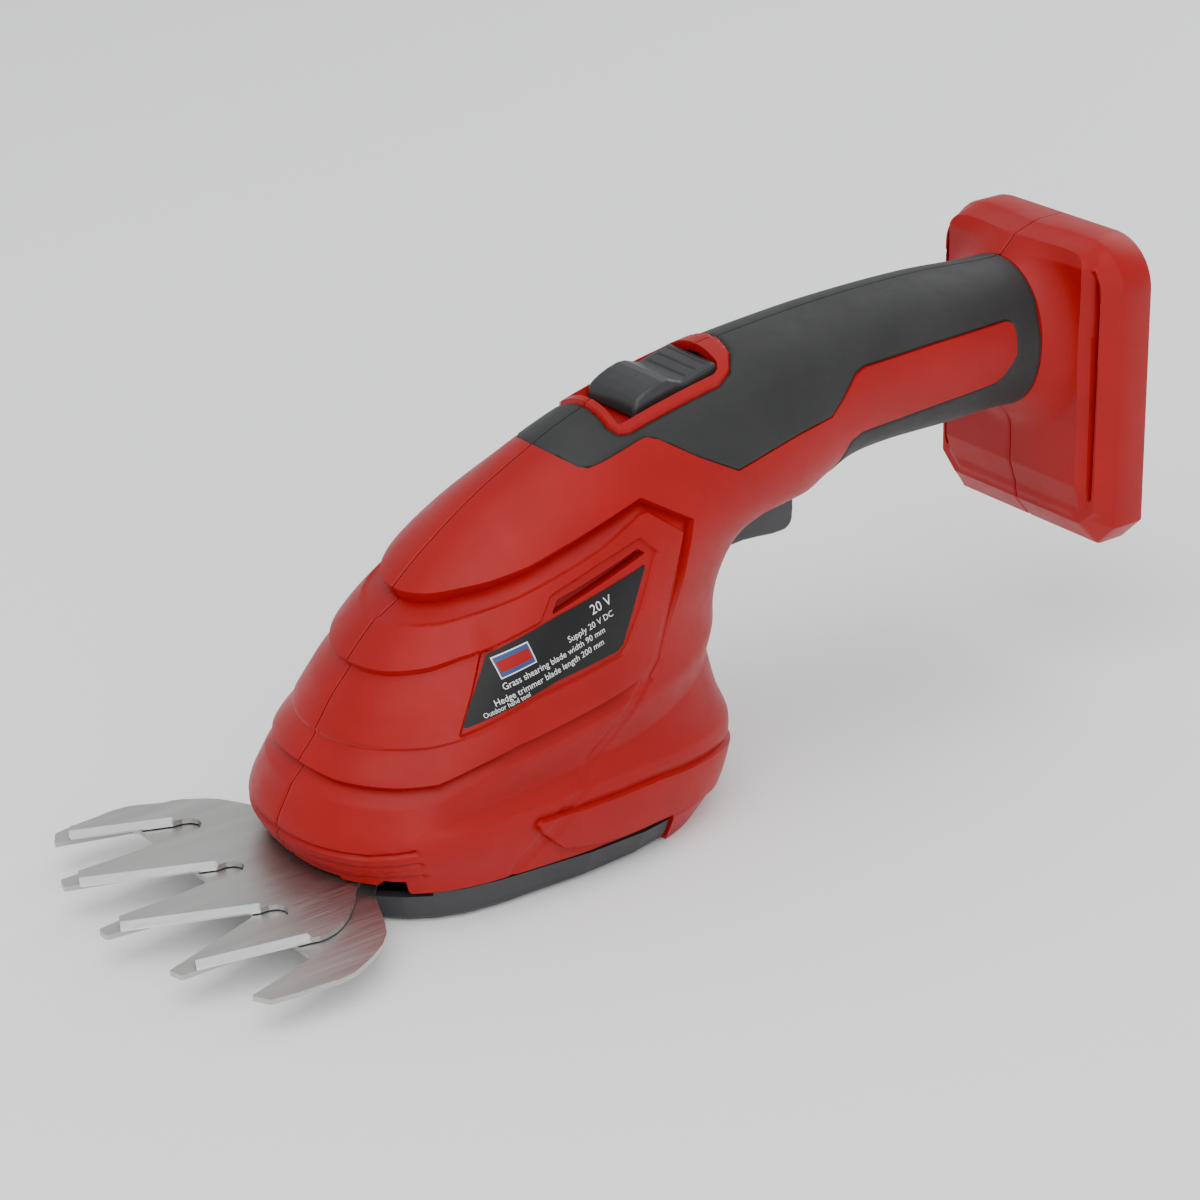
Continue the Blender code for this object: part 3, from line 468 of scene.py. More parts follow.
OXIDE = steel("blackened_steel", (0.025, 0.025, 0.027), (0.045, 0.045, 0.048), 0.42, "X")
BRASS = steel("brass_metal", (0.55, 0.36, 0.12), (0.68, 0.47, 0.18), 0.28, "Y")
NYLON = moulded("gear_nylon_plastic", (0.66, 0.64, 0.57), (0.74, 0.72, 0.66), 0.45, 2200, 0.00003)

BY_SLOT = {"red_shell": RED, "soft_grip": GRIP, "dark_plastic": DARK, "label_black": FILM,
           "blade_steel": BLADE, "bright_steel": BRIGHT, "black_steel": OXIDE, "gear_nylon": NYLON,
           "brass": BRASS, "switch_black": BLACK}
for entry in frame["record"]["subparts"]:
    mesh = nodes[entry["node"]].data
    mesh.materials.clear()
    mesh.materials.append(BY_SLOT[entry["material_slot"]])
nodes["lock_guide"].data.materials[0] = RED

# ---- lines of the body's relief, side view (y, z) ----
RIDGE_1 = [(66, 56.2), (76, 58), (80, 59), (85, 60.5), (90.6, 61.8), (99.3, 64.1), (106.8, 66.6),
           (117.4, 69.8), (129, 73.1), (141.4, 66.0), (137.4, 54.2), (129.4, 37.2), (125.8, 34.2)]
EDGE_1 = [(62, 51.2), (73, 53.6), (79, 54.8), (87, 57), (95, 59), (116, 65.3), (128, 70.2), (130, 70.4),
          (138.5, 64.1), (134.4, 54.4), (126.6, 37.9), (124, 35.8)]
RIDGE_2 = [(54, 44.2), (63.9, 44.6), (66.8, 45.1), (73.5, 46.7), (79.3, 48.6), (85.1, 50)]
RIDGE_3 = [(42, 24.5), (50.8, 24.4), (52.7, 24), (60.8, 24.1), (68, 24.6), (77, 27.3), (86.9, 29.7),
           (97.7, 31.1), (109, 32.6), (122.5, 34.6)]
EDGE_3 = [(42, 19.9), (50.4, 20.6), (59.6, 20.5), (65, 21), (71.6, 23.1), (81.3, 25.9), (97.2, 28.1),
          (111.6, 30.2), (124, 31.6)]
STEP_3 = [(44, 30.6), (55, 30.9), (68.6, 31.9), (75, 33), (93.6, 37.7)]
CREASE = [(62.5, 15.2), (65.6, 15.7), (72.5, 17.3), (79.8, 18.1), (93, 19), (107, 20.7), (122, 21.7),
          (133, 23.4), (140, 24.8), (156, 28)]
SKIRT = [(63, 14.3), (65.4, 14.5), (79, 15.1), (95, 15.7), (106, 16), (121, 15.6), (139, 14.1), (149, 13.1),
         (166, 11.5)]
RIB = [(88.7, 11.2), (90, 12.2), (105.5, 11.9), (123.6, 11.6), (145.6, 9.2), (166, 5.5), (166, -4),
       (138, -0.1), (121, 0.5), (108.4, 0.6), (96.4, 2.9), (94.5, 4.6), (90.4, 8.6)]
NOSE_LINES = [[(30, 10.2), (52, 10.5), (60.5, 11.6)], [(30, 6.6), (52, 7.0), (61.5, 8.4)],
              [(30, 3.0), (52, 3.4), (62.8, 4.8)]]
RECESS = [(74.2, 33.5), (93.7, 38.5), (117.7, 41.5), (120, 43), (124.7, 50.2), (130, 60.3), (130.8, 61.8),
          (126.6, 66.1), (115, 63.2), (103.2, 59.4), (101.6, 58.7), (97.9, 54.2), (90.6, 52.1), (83.7, 50.1)]
LABEL = [(127.0, 60.0), (123.7, 54.0), (118.6, 44.0), (116.8, 42.9), (99.3, 41.0), (75.2, 35.1), (84.8, 49.4),
         (102.7, 54.6)]
VENT = [(101.1, 54.9), (103.1, 57.7), (125.7, 63.8), (127.6, 62.4)]
GRIP_LINE = [(113.8, 84), (118.4, 80.9), (120.4, 80.5), (124, 81.2), (134, 84.0), (136, 84.4), (138.8, 83.4),
             (147, 78.4), (157.5, 73), (163, 74), (177, 76.6), (187.6, 78), (191.7, 81.3), (196.5, 86),
             (199.2, 87.1), (223, 87.6), (246.2, 87.9), (247.9, 87.2), (248.6, 85.4), (249, 79.4),
             (247.8, 77.4), (244.8, 74.2), (243, 73.2), (240.6, 72.9), (211.6, 71.4), (199, 71.2),
             (195.5, 69.6), (193.8, 60), (192.5, 48), (257.0, 48), (257.0, 112), (113.8, 112)]
UNDER = [(30, 2.8), (50.6, 2.8), (51.0, 2.1), (55.8, 2.1), (56.2, 3.4), (60.0, 3.4), (61.2, -0.2),
         (129.4, -0.2), (129.6, -0.6), (129.6, -14)]
# plan view (x, y) from here: the raised frame round the lock slide, and the trigger's slot
FRAME_OUT = [(8.6, 129.0), (10.8, 130.2), (11.8, 132.8), (11.8, 158.5), (10.4, 162.5), (6.5, 165.6),
             (0, 166.8), (-6.5, 165.6), (-10.4, 162.5), (-11.8, 158.5), (-11.8, 132.8), (-10.8, 130.2),
             (-8.6, 129.0)]
FRAME_IN = [(9.4, 131.0), (9.8, 131.6), (9.8, 158.0), (9.2, 159.8), (7.6, 160.8), (-7.6, 160.8),
            (-9.2, 159.8), (-9.8, 158.0), (-9.8, 131.6), (-9.4, 131.0)]
TRIGGER_SLOT = [(8.0, 156), (8.0, 188.6), (-8.0, 188.6), (-8.0, 156)]
# side view again; the wells hold the housing screws: y, z, depth from the middle plane
GRIP_CREASE = [(138, 83.5), (150, 86.2), (165, 88.3), (197, 90.3), (225, 91), (258, 91)]
WELLS = [(67.0, 21.0, 18.4), (148.8, 21.0, 14.4), (124.0, 72.0, 12.0), (226.0, 80.0, 10.0)]
WELL_R = 3.15


def fade(value, start, end):
    """1 before start, 0 after end."""
    return 1 - smooth((value - start) / (end - start))


def stepped(d, over, under, width=0.5):
    """One height above a line and another below it, with a steep step between."""
    t = np.clip(d / width, 0, 1)
    return under + (over - under) * t


def share_below(d, e):
    """How far a point lies from a ridge, towards the soft edge under it."""
    below = np.maximum(-d, 0)
    return np.where(e > 0, below / np.maximum(below + np.abs(e), 1e-6), 1)


def relief(points):
    """Height of the relief over the plain surface."""
    x, y, z = np.abs(points[..., 0]), points[..., 1], points[..., 2]
    h = np.zeros(y.shape)
    d, _, _, place, run = to_line(y, z, RIDGE_1)
    e = to_line(y, z, EDGE_1)[0]
    share = share_below(d, e)
    front = fade(y, 118, 140)
    rear = 1 - smooth((place - (run - 34)) / 26)
    over = (0.25 + 0.85 * front) * fade(d, 0.5, 10) * rear * (y < 150)
    under = -(1.3 + 0.5 * front) * (1 - np.clip(share, 0, 1)) * (0.35 + 0.65 * rear)
    under -= 0.4 * np.clip(e / 0.5, 0, 1) * rear
    h += stepped(d, over, under)
    d = to_line(y, z, RIDGE_2)[0]
    h += stepped(d, 0.7 * fade(d, 0.5, 9), -0.95 * fade(-d, 0, 7)) * fade(y, 82, 88)
    d = to_line(y, z, RIDGE_3)[0]
    share = share_below(d, to_line(y, z, EDGE_3)[0])
    h += stepped(d, 0.7 * fade(d, 0.5, 8), -1.2 * (1 - share)) * fade(y, 112, 126)
    d = to_line(y, z, STEP_3)[0]
    h += stepped(d, 0.25 * fade(d, 0.5, 7), -0.3 * fade(-d, 0, 6)) * fade(y, 72, 94)
    d = to_line(y, z, CREASE)[0]
    e = to_line(y, z, SKIRT)[0]
    share = np.abs(d) / np.maximum(np.abs(d) + np.abs(e), 1e-6)
    depth = 2.2 * smooth((y - 62) / 18)
    h -= depth * np.where((d < 0) & (e > 0), 1 - share, np.where(d >= 0, fade(d, 0, 8.5), 0))
    d = to_line(y, z, RIB, True)[0]
    h += np.where(d < 0, -0.45 * fade(-d, 0, 1.6), -0.45 + 1.25 * np.clip(d / 0.5, 0, 1))
    for line in NOSE_LINES:
        d = to_line(y, z, line)[0]
        h -= 0.85 * np.clip(1 - np.abs(d) / 0.75, 0, 1) * (y < 66)
    h -= 0.85 * np.clip(to_line(y, z, RECESS, True)[0] / 0.5, 0, 1)
    h -= 2.6 * np.clip(to_line(y, z, VENT, True)[0] / 0.5, 0, 1)
    d = to_line(y, z, GRIP_LINE, True)[0]
    ring = to_line(x, y, FRAME_OUT, True)[0]
    top = z > TOP_Z
    h -= 1.3 * np.clip(np.where(top, np.minimum(d, -ring), d) / 0.5, 0, 1)
    h += 0.75 * np.clip(ring / 0.5, 0, 1) * top
    return h - 0.35 * np.clip(1 - x / 0.55, 0, 1) * (z > 1)


SHARP, STEPPED = (0,), (0, 0.5)
RELIEF_LINES = [(UNDER, False, SHARP), (GRIP_LINE, True, STEPPED), (RECESS, True, STEPPED),
                (VENT, True, STEPPED), (RIDGE_1, False, STEPPED), (RIDGE_2, False, STEPPED),
                (RIDGE_3, False, STEPPED), (RIB, True, STEPPED), (EDGE_1, False, STEPPED),
                (CREASE, False, SHARP), (SKIRT, False, SHARP), (EDGE_3, False, SHARP),
                (STEP_3, False, STEPPED)] + [(line, False, SHARP) for line in NOSE_LINES]


def on_web(points):
    """Under the handle, where the trigger's slot is cut."""
    return (points[..., 2] > 40) & (points[..., 2] < 60) & (points[..., 1] > 150)


def shell_keep(points, side):
    """Positive where the shell has material: over the sole, round the slots and the screw wells."""
    x, y, z = points[..., 0], points[..., 1], points[..., 2]
    keep = to_line(y, z, UNDER)[0]
    keep = np.where(z > TOP_Z, np.minimum(keep, -to_line(x, y, FRAME_IN, True)[0]), keep)
    keep = np.where(on_web(points), np.minimum(keep, -to_line(x, y, TRIGGER_SLOT, True)[0]), keep)
    if side < 0:
        for cy, cz, _ in WELLS:
            keep = np.minimum(keep, np.hypot(y - cy, z - cz) - WELL_R)
    return keep


def shell(side, word):
    """Half of the red housing: a fine grid for the body joined to a coarser one for the handle."""
    share = np.linspace(0, 1, 281)
    share *= 0.84 + 0.16 * share
    body = fan(rows_between(0, HANDLE_V, 0.56), share, side)
    handle = fan(rows_between(HANDLE_V, NECK_V, 0.85), share[::2], side)
    parts = []
    for grid in (body, handle):
        held = np.zeros(grid.shape[:2], bool)
        held[-1] = True
        held[0] = grid is handle
        normals = grid_normals(grid, side)
        snap(grid, normals, held, FRAME_IN, True, (0,), (0, 1), grid[..., 2] > TOP_Z)
        snap(grid, normals, held, FRAME_OUT, True, (0, 0.5), (0, 1), grid[..., 2] > TOP_Z)
        snap(grid, normals, held, TRIGGER_SLOT, True, (0,), (0, 1), on_web(grid))
        if side < 0:
            for cy, cz, _ in WELLS:
                snap(grid, normals, held, arc(cy, cz, WELL_R, 0, 360, 33)[:-1], True, (0,))
        for line, closed, levels in RELIEF_LINES:
            snap(grid, normals, held, line, closed, levels)
        keep = on_edge(shell_keep(grid, side))
        grid += normals * relief(grid)[..., None]
        grid[:, [0, -1], 0] = SEAM * side
        normals = grid_normals(grid, side)
        well = grid - normals * SHELL_WALL
        well[:, [0, -1], 0] = JOIN * side
        if side < 0:
            for cy, cz, depth in WELLS:
                hole = np.hypot(grid[..., 1] - cy, grid[..., 2] - cz) < WELL_R + 0.3
                well[hole] = grid[hole]
                well[hole, 0] = side * depth
        parts.append([grid, keep, held, well])
    (rows, cols), (more, few) = body.shape[:2], handle.shape[:2]
    points, keep, held, well = (
        np.concatenate([a.reshape(-1, *a.shape[2:]), b[1:].reshape(-1, *b.shape[2:])])
        for a, b in zip(*parts))
    start = rows * cols
    fine = start - cols + np.arange(cols)
    coarse = start + np.arange(few)
    tris = np.vstack([np.stack([fine[:-1:2], fine[1::2], coarse[:-1]], -1),
                      np.stack([fine[1::2], coarse[1:], coarse[:-1]], -1),
                      np.stack([fine[1::2], fine[2::2], coarse[1:]], -1)])
    quads = np.vstack([quads_of(rows, cols), quads_of(more - 1, few, start)])
    verts, faces = trimmed(points, keep, held, quads, tris, side > 0, [well])
    mesh_object("shell_" + word, verts, faces, [RED], "housing", ["housing_" + word], 42)


def grip(side, word):
    """The soft skin over the handle: rounded edges, a parting line on top."""
    grid = fan(rows_between(6.2, NECK_V, 0.7), np.linspace(0, 1, 171), side)
    normals = grid_normals(grid, side)
    held = np.zeros(grid.shape[:2], bool)
    top = grid[..., 2] > TOP_Z
    snap(grid, normals, held, GRIP_LINE, True, (0.12, 0.9))
    snap(grid, normals, held, FRAME_OUT, True, (-0.15, -0.95), (0, 1), top)
    snap(grid, normals, held, GRIP_CREASE, False, (0,))
    x, y, z = grid[..., 0], grid[..., 1], grid[..., 2]
    d = to_line(y, z, GRIP_LINE, True)[0] - 0.12
    keep = on_edge(np.where(top, np.minimum(d, -to_line(x, y, FRAME_OUT, True)[0] - 0.15), d))
    height = 0.15 - 0.5 * (1 - np.clip(keep / 0.8, 0, 1)) ** 2
    height -= 0.3 * np.clip(1 - (np.abs(x) - SEAM) / 0.4, 0, 1)
    below = -to_line(y, z, GRIP_CREASE)[0]
    height -= 0.55 * np.clip(below / 3, 0, 1) * fade(below, 3, 14) * smooth((y - 138) / 12)
    grid = grid + normals * height[..., None]
    grid[:, [0, -1], 0] = SEAM * side
    under = grid - normals * GRIP_WALL
    under[:, [0, -1], 0] = JOIN * side
    verts, faces = cut_grid(grid, keep, held, side > 0, under)
    mesh_object("grip_skin_" + word, verts, faces, [GRIP], "housing", ["grip_" + word], 50)


# ---- the battery foot ----
FOOT_OUT = [(0, 26.2), (24.0, 26.2), (29.7, 32.2)] + arc(17.7, 93.2, 12, 0, 90, 14) + [(0, 105.2)]
FOOT_FACE = [(0, 32.2), (22.4, 32.2), (27.0, 36.8)] + arc(17.4, 93.6, 9.6, 0, 90, 12) + [(0, 103.2)]
PANEL = [(0, 33.2), (20.6, 33.2), (24.4, 37.0), (24.4, 101.0), (21.5, 104.9), (0, 104.9)]
GROOVE = [(24.8, 38.0), (26.2, 40.0), (26.9, 90.0), (26.2, 96.5), (24.0, 99.8), (22.6, 101.0), (24.6, 98.0)]


def foot_y(y, z):
    """The foot's faces lean forward."""
    return y - FOOT_LEAN * (z - FOOT_MID_Z)


def foot_front(x, z, neck):
    """The foot's front face: chamfered edge, raised panel, side grooves, and a cone up to the handle."""
    out = np.maximum(to_line(x, z, both(FOOT_OUT), True)[0], 0)
    face = to_line(x, z, both(FOOT_FACE), True)[0]
    y = 266.0 + 5.0 * np.where(face < 0, 1 - out / np.maximum(out - face, 1e-6), 0)
    raised = np.clip(to_line(x, z, both(PANEL), True)[0] / 1.5, 0, 1)
    y -= raised * (2.7 - 2.2 * np.clip((43 - z) / 6.5, 0, 1) - 2.2 * np.clip((z - 100) / 4.9, 0, 1))
    y += 2.6 * np.clip(to_line(x, z, GROOVE, True)[0] / 0.8, 0, 1)
    y = foot_y(y, z)
    away = -to_line(x, z, neck, True)[0]
    y -= (y - 257) * (1 - np.clip(away / 9.5, 0, 1)) ** 2.2
    return y + 0.35 * np.clip(1 - (x - SEAM) / 0.45, 0, 1)


def foot(side, word):
    """Half of the battery foot: its front from a grid, its sides and back from rings."""
    neck = fan([NECK_V], np.linspace(0, 1, 60), 1)[0][:, [0, 2]]
    neck = both([(0.0, neck[0][1])] + [tuple(p) for p in neck[1:-1]] + [(0.0, neck[-1][1])])
    flat = flat_grid(SEAM, 30.1, 25.9, 105.5, 0.4)
    held = np.zeros(flat.shape[:2], bool)
    level_lines = [([(-40, z), (40, z)], (0,)) for z in (43, 36.5, 100)]
    for line, levels in [(both(FOOT_OUT), (0,)), (neck, (0,)), (both(PANEL), (0, 1.5)), (GROOVE, (0, 0.8)),
                         (both(FOOT_FACE), (0,))] + level_lines:
        snap(flat, upward(flat), held, line, len(line) > 2, levels, (0, 1))
    flat[:, 0, 0] = SEAM
    x, z = flat[..., 0], flat[..., 1]
    keep = on_edge(np.minimum(to_line(x, z, both(FOOT_OUT), True)[0], -to_line(x, z, neck, True)[0]))
    points = np.stack([x * side, foot_front(x, z, neck), z], -1)
    well = points - grid_normals(points, side) * FOOT_WALL
    well[:, 0, 0] = JOIN * side
    verts, faces = cut_grid(points, keep, held, side < 0, well)
    edge = resample([(JOIN, 26.6), (SEAM, 26.2)] + FOOT_OUT[1:-1] + [(SEAM, 105.2), (JOIN, 104.8)], 0.6)
    run = np.gradient(edge, axis=0)
    out = np.stack([run[:, 1], -run[:, 0]], -1) / np.linalg.norm(run, axis=1)[:, None]
    out[[0, 1, -2, -1], 0] = 0
    rings = []
    for grow, depth in ((0, 271.0), (0.3, 272.0), (0.3, 279.6), (0.05, 280.5), (-0.9, 281.0)):
        ring = edge + out * grow
        rings.append(np.stack([ring[:, 0] * side, foot_y(depth, ring[:, 1]), ring[:, 1]], -1))
    rings[0][:, 1] = foot_front(edge[:, 0], edge[:, 1], neck)
    window = [(JOIN, 92.2), (18.0, 92.2), (19.2, 91.0), (19.2, 45.0), (18.0, 43.8), (JOIN, 43.8)]
    rings = np.array(rings)
    count, around = rings.shape[:2]
    rim = [np.array([(a * side, foot_y(depth, b), b) for a, b in window]) for depth in (281.0, 277.0)]
    extra = np.vstack([rings.reshape(-1, 3)] + rim)
    band = quads_of(count, around)
    last = (count - 1) * around
    hole = count * around + np.arange(6)
    back_face = np.concatenate([last + np.arange(around), hole])[None, :]
    walls = np.array([(hole[k + 1], hole[k], hole[k] + 6, hole[k + 1] + 6) for k in range(5)])
    if side > 0:
        band, back_face, walls = band[:, ::-1], back_face[:, ::-1], walls[:, ::-1]
    start = len(verts)
    mesh_object("foot_" + word, np.vstack([verts, extra]),
                faces + [band[:, ::-1] + start, back_face[:, ::-1] + start, walls + start], [RED], "housing",
                [], 30)


# ---- the blades ----
def bevelled(x, y, edges, width):
    """1 on a cutting edge, 0 from the bevel's inner side on; nothing past an edge's ends."""
    most = np.zeros(x.shape)
    for edge in edges:
        d, _, _, place, run = to_line(x, y, edge)
        beside = (place > 1e-3) & (place < run - 1e-3)
        most = np.maximum(most, np.where(beside, np.clip(1 - np.abs(d) / width, 0, 1), 0))
    return most


def plate(name, outline, holes, low, high, edges, width, drop, mats, body, replaces=()):
    """A flat plate, with bevels along its cutting edges."""
    pts = np.array(outline)
    (x0, y0), (x1, y1) = pts.min(0) - 0.7, pts.max(0) + 0.7
    grid = flat_grid(x0, x1, y0, y1, 0.4)
    up = upward(grid)
    held = np.zeros(grid.shape[:2], bool)
    rings = [arc(hx, hy, radius, 0, 360, 33)[:-1] for hx, hy, radius in holes]
    for line in [outline] + rings:
        snap(grid, up, held, line, True, (0,), (0, 1))
    for edge in edges:
        snap(grid, up, held, edge, False, (-width, width), (0, 1))
    x, y = grid[..., 0], grid[..., 1]
    keep = to_line(x, y, outline, True)[0]
    for ring in rings:
        keep = np.minimum(keep, -to_line(x, y, ring, True)[0])
    grid[..., 2] = high - drop * bevelled(x, y, edges, width)
    under = grid.copy()
    under[..., 2] = low
    verts, faces = cut_grid(grid, on_edge(keep), held, False, under, True)

    def pick(middles):
        """The ground steel on the bevels, the rolled steel elsewhere."""
        return (bevelled(middles[:, 0], middles[:, 1], edges, width) > 0.02) & (middles[:, 2] > low + 0.01)

    mesh_object(name, verts, faces, mats, body, replaces, 8, pick)


def at_rest(x, y):
    """A point of the moving blade, given in the middle of its swing, where it lies at rest."""
    turn = math.radians(REST_SWING)
    return (x * math.cos(turn) - (y - PIVOT_Y) * math.sin(turn),
            PIVOT_Y + x * math.sin(turn) + (y - PIVOT_Y) * math.cos(turn))


def blades():
    """The fixed blade with five teeth, and the moving one with four bevelled teeth and a riveted heel."""
    half = [(1.7, 0.0), (5.0, 28.4), (6.2, 29.6), (12.8, 29.6), (14.0, 28.4), (22.2, 3.2), (25.6, 4.1),
            (25.8, 28.6), (27.0, 29.6), (35.0, 29.6), (36.2, 28.5), (41.2, 11.3), (45.0, 13.6),
            (46.0, 20.0), (46.2, 24.0), (46.8, 29.3), (46.4, 33.3), (45.2, 36.0), (43.0, 40.4), (40.5, 44.3),
            (37.2, 47.6), (33.1, 49.9), (27.5, 52.4), (21.3, 55.1), (16.0, 60.0), (14.0, 68.0), (14.0, 90.0),
            (10.0, 95.0)]
    plate("fixed_blade", both(half), [(0, PIVOT_Y, 3.3)], -1.2, 0.0, [], 1, 0, [BLADE, GROUND], "housing",
          ["lower_blade"])
    outline = [(-43.6, 16.6), (-39.9, 14.3), (-31.2, 36.1), (-31.0, 38.4), (-30.2, 40.2), (-28.6, 41.1),
               (-26.6, 40.9), (-25.2, 39.6), (-24.6, 37.8), (-24.4, 35.6), (-24.3, 7.9), (-19.5, 5.6),
               (-7.8, 33.3), (-7.8, 35.6), (-7.1, 37.2), (-5.5, 38.2), (-3.9, 37.9), (-2.7, 36.7),
               (-2.2, 35.2), (-2.1, 33.4), (-1.6, 5.0), (2.6, 3.0), (14.0, 30.7),
               (14.1, 32.8), (14.8, 34.4), (16.3, 35.4),
               (18.0, 35.3), (19.7, 34.2), (20.8, 32.6), (21.3, 30.3), (22.4, 9.1), (26.2, 7.4), (31.2, 32.4),
               (31.8, 34.4), (31.7, 36.5), (31.1, 38.8), (29.8, 41.4), (27.4, 44.7), (23.0, 49.0),
               (18.5, 52.5), (14.5, 58.0)]
    heel = [at_rest(x, y) for x, y in [(12.5, 68), (12.5, 88), (8, 93), (-8, 93), (-12.5, 88), (-12.5, 68)]]
    left = [(-18.5, 58.5), (-22.6, 56.4), (-26.4, 54.9), (-30.7, 52.4), (-34.1, 50.2), (-36.4, 47.8),
            (-38.3, 44.8), (-39.4, 43.2), (-40.2, 41.0)]
    rivets = [(*at_rest(x, 69.5), 1.8) for x in (7, -7)]
    edges = [[(-39.9, 14.3), (-31.2, 36.1)], [(-19.5, 5.6), (-7.8, 33.3)], [(2.6, 3.0), (14.0, 30.7)],
             [(26.2, 7.4), (31.2, 32.4)]]
    plate("cutting_blade", outline + heel + left, [(0, PIVOT_Y, 3.3)] + rivets, 0.3, 1.5, edges, 2.2, 0.8,
          [BLADE, GROUND], "moving_blade", ["upper_blade"])


def heel_plate():
    """The red underside behind the sole cover."""
    half = [(x - 0.3, y) for x, y, _ in fan([0.0], np.linspace(0, 1, 90), 1)[0] if y > 129.5 and x > 0.6]
    outline = both([(half[0][0], 129.5)] + half)[::-1]
    plate("heel_plate", outline, [], SOLE_Z, SOLE_Z + 1.6, [], 1, 0, [RED, RED], "housing")


# ---- the label ----
LABEL_RISE = math.radians(13.5)
LETTERING = (("20 V", 3.1, 113.4, 54.2), ("Supply 20 V DC", 2.0, 110.0, 50.3),
             ("Grass shearing blade width 90 mm", 2.0, 100.0, 45.5),
             ("Hedge trimmer blade length 200 mm", 2.0, 98.4, 42.7),
             ("Outdoor hand tool", 1.5, 86.6, 38.4))   # text, size, middle y, middle z
BADGE = ((9.0, 4.6, 0.04, 0), (8.5, 4.1, 0.07, 1), (7.9, 2.3, 0.10, 2))   # width, height, lift, material
BADGE_AT = (90.4, 47.2)
BADGE_COLS, BADGE_ROWS = 19, 9


def label(side, word):
    """A film sunk into the body's recess, with generic lettering and a plain badge laid on it."""
    grid = fan(rows_between(2.6, 6.9, 0.5), np.linspace(0.1, 0.75, 260), side)
    normals = grid_normals(grid, side)
    held = np.zeros(grid.shape[:2], bool)
    snap(grid, normals, held, LABEL, True, (0,))
    keep = on_edge(to_line(grid[..., 1], grid[..., 2], LABEL, True)[0])
    film = grid - normals * 0.66
    verts, faces = cut_grid(film, keep, held, side > 0, grid - normals * 0.83)
    mesh_object("label_film_" + word, verts, faces, [FILM], "housing", ["label_" + word], 30)
    tree = BVHTree.FromPolygons([tuple(p) for p in film.reshape(-1, 3)],
                                [tuple(int(i) for i in q) for q in quads_of(*grid.shape[:2])])
    cos, sin = math.cos(LABEL_RISE), math.sin(LABEL_RISE)

    def on_label(spots, y, z, lift):
        """Flat points laid on the film round (y, z)."""
        out = []
        for a, b in spots:
            py, pz = y + side * a * cos - b * sin, z + side * a * sin + b * cos
            hit = tree.ray_cast(Vector((side * 60, py, pz)), Vector((-side, 0, 0)))[0]
            out.append((hit.x + side * lift, py, pz))
        return np.array(out)

    verts, faces, paint, start = [], [], [], 0
    for text, size, y, z in LETTERING:
        curve = bpy.data.curves.new("letters", "FONT")
        curve.body, curve.size, curve.align_x, curve.align_y = text, size, "CENTER", "CENTER"
        curve.resolution_u = 3
        letters = bpy.data.objects.new("letters", curve)
        bpy.context.scene.collection.objects.link(letters)
        mesh = bpy.data.meshes.new_from_object(letters)
        spots = np.array([(v.co.x, v.co.y) for v in mesh.vertices])
        verts.append(on_label(spots, y, z, 0.05))
        faces += [np.array([list(p.vertices)[::side]]) + start for p in mesh.polygons]
        paint += [0] * len(mesh.polygons)
        start += len(spots)
        bpy.data.objects.remove(letters)
    for wide, high, lift, number in BADGE:
        xs = np.linspace(-wide / 2, wide / 2, BADGE_COLS)
        ys = np.linspace(-high / 2, high / 2, BADGE_ROWS)
        spots = [(a, b) for b in ys for a in xs]
        verts.append(on_label(spots, *BADGE_AT, lift))
        faces.append(quads_of(BADGE_ROWS, BADGE_COLS)[:, ::side] + start)
        paint += [number] * len(faces[-1])
        start += len(spots)
    groups = {}
    for f in faces:
        groups.setdefault(f.shape[1], []).append(f)
    order = [np.concatenate(g) for g in groups.values()]
    numbers, at = {}, 0
    for f in faces:
        numbers.setdefault(f.shape[1], []).extend(paint[at:at + len(f)])
        at += len(f)
    flat = np.concatenate([numbers[size] for size in groups])
    mesh_object("label_print_" + word, np.vstack(verts), order, [PRINT, PRINT_BLUE, RED], "housing",
                [], 30, lambda _: flat)


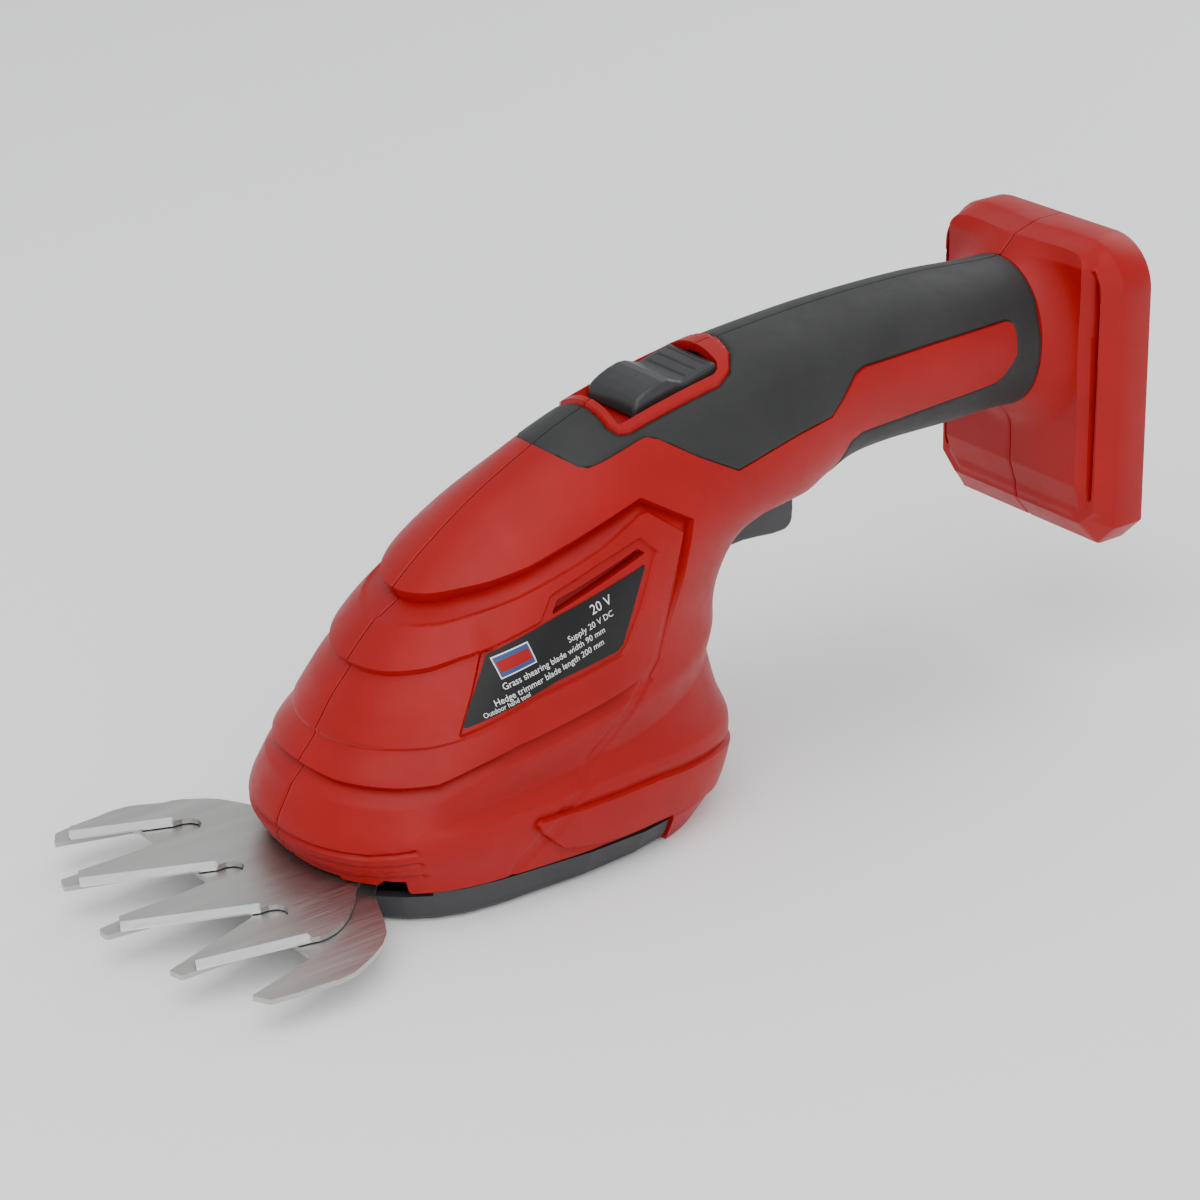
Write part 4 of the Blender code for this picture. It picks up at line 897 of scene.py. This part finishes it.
# ---- the lock slide and the trigger ----
def lock_button():
    """A thumb slide: a hump with a crease, three grooves behind it and a small arrow."""
    profile = np.array([(136.4, 89.3), (136.8, 90.2), (137.8, 91.2), (139.6, 92.3), (142.0, 93.3),
                        (144.6, 94.0), (146.6, 94.0), (148.6, 93.3), (150.4, 92.7), (151.4, 92.8),
                        (153.0, 93.3), (156.0, 94.2), (159.0, 94.9), (160.2, 94.9), (160.9, 94.3),
                        (161.3, 92.9)])
    outline = both([(8.0, 136.4), (8.7, 137.2), (8.7, 160.4), (7.8, 161.3)])
    grid = flat_grid(-9.0, 9.0, 136.0, 161.7, 0.2)
    held = np.zeros(grid.shape[:2], bool)
    snap(grid, upward(grid), held, outline, True, (0,), (0, 1))
    arrow = [(-1.2, 143.6), (1.2, 143.6), (0, 141.8)]
    x, y = grid[..., 0], grid[..., 1]
    edge = to_line(x, y, outline, True)[0]
    z = np.interp(y, profile[:, 0], profile[:, 1])
    z -= 1.5 * (1 - np.sqrt(1 - (1 - np.clip(edge / 1.5, 0, 1)) ** 2))
    for line in (152.4, 155.4, 158.4):
        z -= 0.5 * np.clip(1 - np.abs(y - line) / 0.35, 0, 1) * (np.abs(x) < 7)
    z += 0.25 * np.clip(to_line(x, y, arrow, True)[0] / 0.2, 0, 1)
    grid[..., 2] = z
    floor = grid.copy()
    floor[..., 2] = 87.3 + (y - 136.5) * 0.143
    verts, faces = cut_grid(grid, on_edge(edge, 0.02), held, False, floor, True)
    corners = ((-3.6, 146), (3.6, 146), (3.6, 151), (-3.6, 151))
    stem = np.array([(a, b, c) for c in (80.0, 90.0) for a, b in corners])
    sides = np.array([(0, 1, 5, 4), (1, 2, 6, 5), (2, 3, 7, 6), (3, 0, 4, 7), (3, 2, 1, 0)]) + len(verts)
    mesh_object("lock_button", np.vstack([verts, stem]), faces + [sides], [BUTTON], "lock_slide",
                ["lock_slide"], 40)


def rounded_block(name, outline, half, bevel, mat, body, replaces):
    """An outline (y, z) carried across, its edges rounded."""
    bm = bmesh.new()
    left = [bm.verts.new((half, y, z)) for y, z in outline]
    right = [bm.verts.new((-half, y, z)) for y, z in outline]
    bm.faces.new(left)
    bm.faces.new(right[::-1])
    count = len(outline)
    for i in range(count):
        bm.faces.new((left[i - 1], left[i], right[i], right[i - 1]))
    bmesh.ops.recalc_face_normals(bm, faces=bm.faces)
    rim = [e for e in bm.edges if abs(e.verts[0].co.x - e.verts[1].co.x) < 0.01]
    bmesh.ops.bevel(bm, geom=rim, offset=bevel, segments=4, profile=0.5, affect="EDGES")
    from_bmesh(name, bm, [mat], body, replaces, 30)


def trigger_lever():
    """The trigger: rounded below, where a finger pulls it, its upper part inside the housing."""
    outline = [(158.0, 58.5), (158.5, 66.0), (164.0, 66.4), (185.4, 63.8), (186.0, 58.0), (186.3, 52.0)]
    outline += arc(183.0, 50.2, 3.2, 10, -90, 8)
    outline += [(180.0, 46.9), (176.0, 47.3), (171.0, 47.6), (167.0, 47.3)]
    outline += arc(165.0, 49.4, 2.5, -100, -170, 6) + [(161.6, 52.0), (160.2, 55.0)]
    rounded_block("trigger_lever", outline, 7.0, 1.1, BUTTON, "trigger", ["trigger"])


for hand, hand_word in ((1, "left"), (-1, "right")):
    shell(hand, hand_word)
    grip(hand, hand_word)
    foot(hand, hand_word)
    label(hand, hand_word)
blades()
heel_plate()
lock_button()
trigger_lever()


# ---- floor, light and camera ----
def stage_scene():
    """A plain pale floor, a pale sky and three soft lamps."""
    bpy.ops.mesh.primitive_plane_add(size=6, location=(0, 0, -0.0005))
    floor = bpy.context.object
    floor.name = "studio_floor"
    floor.data.materials.append(nodes_of("studio_paper", (0.94, 0.94, 0.94), 0.9)[0])
    background = bpy.data.worlds.new("studio")
    bpy.context.scene.world = background
    background.use_nodes = True
    sky = background.node_tree.nodes["Background"]
    sky.inputs["Color"].default_value = (0.95, 0.97, 1.0, 1)
    sky.inputs["Strength"].default_value = 0.85
    for name, at, size, power, aim in (("key", (0.35, -0.5, 1.25), 1.3, 12, (0, 0.05, 0.04)),
                                       ("side", (0.95, -0.35, 0.45), 0.7, 3.5, (0, 0.05, 0.05)),
                                       ("back", (-0.2, 1.1, 0.8), 0.9, 5, (0, 0.1, 0.05))):
        light = bpy.data.lights.new(name, "AREA")
        light.size = size
        light.energy = power
        lamp = bpy.data.objects.new(name, light)
        lamp.location = at
        lamp.rotation_euler = (Vector(aim) - Vector(at)).to_track_quat("-Z", "Y").to_euler()
        bpy.context.scene.collection.objects.link(lamp)


def add_camera():
    """Azimuth and elevation seen from, and how far the view's centre lies along its right and up axes."""
    azimuth = math.radians(52.23)
    elevation = math.radians(24.34)
    level = math.cos(elevation)
    back = Vector((math.sin(azimuth) * level, -math.cos(azimuth) * level, math.sin(elevation)))
    right = Vector((math.cos(azimuth), math.sin(azimuth), 0))
    up = back.cross(right)
    place = right * 105.6 + up * 70.56 + back * 682.0
    data = bpy.data.cameras.new("camera")
    data.lens = 96.42
    data.sensor_width = 36
    data.clip_end = 20
    cam = bpy.data.objects.new("camera", data)
    turned = Matrix((right, up, back)).transposed().to_4x4()
    cam.matrix_world = Matrix.Translation(Vector(world(place))) @ turned
    bpy.context.scene.collection.objects.link(cam)
    bpy.context.scene.camera = cam


stage_scene()
add_camera()
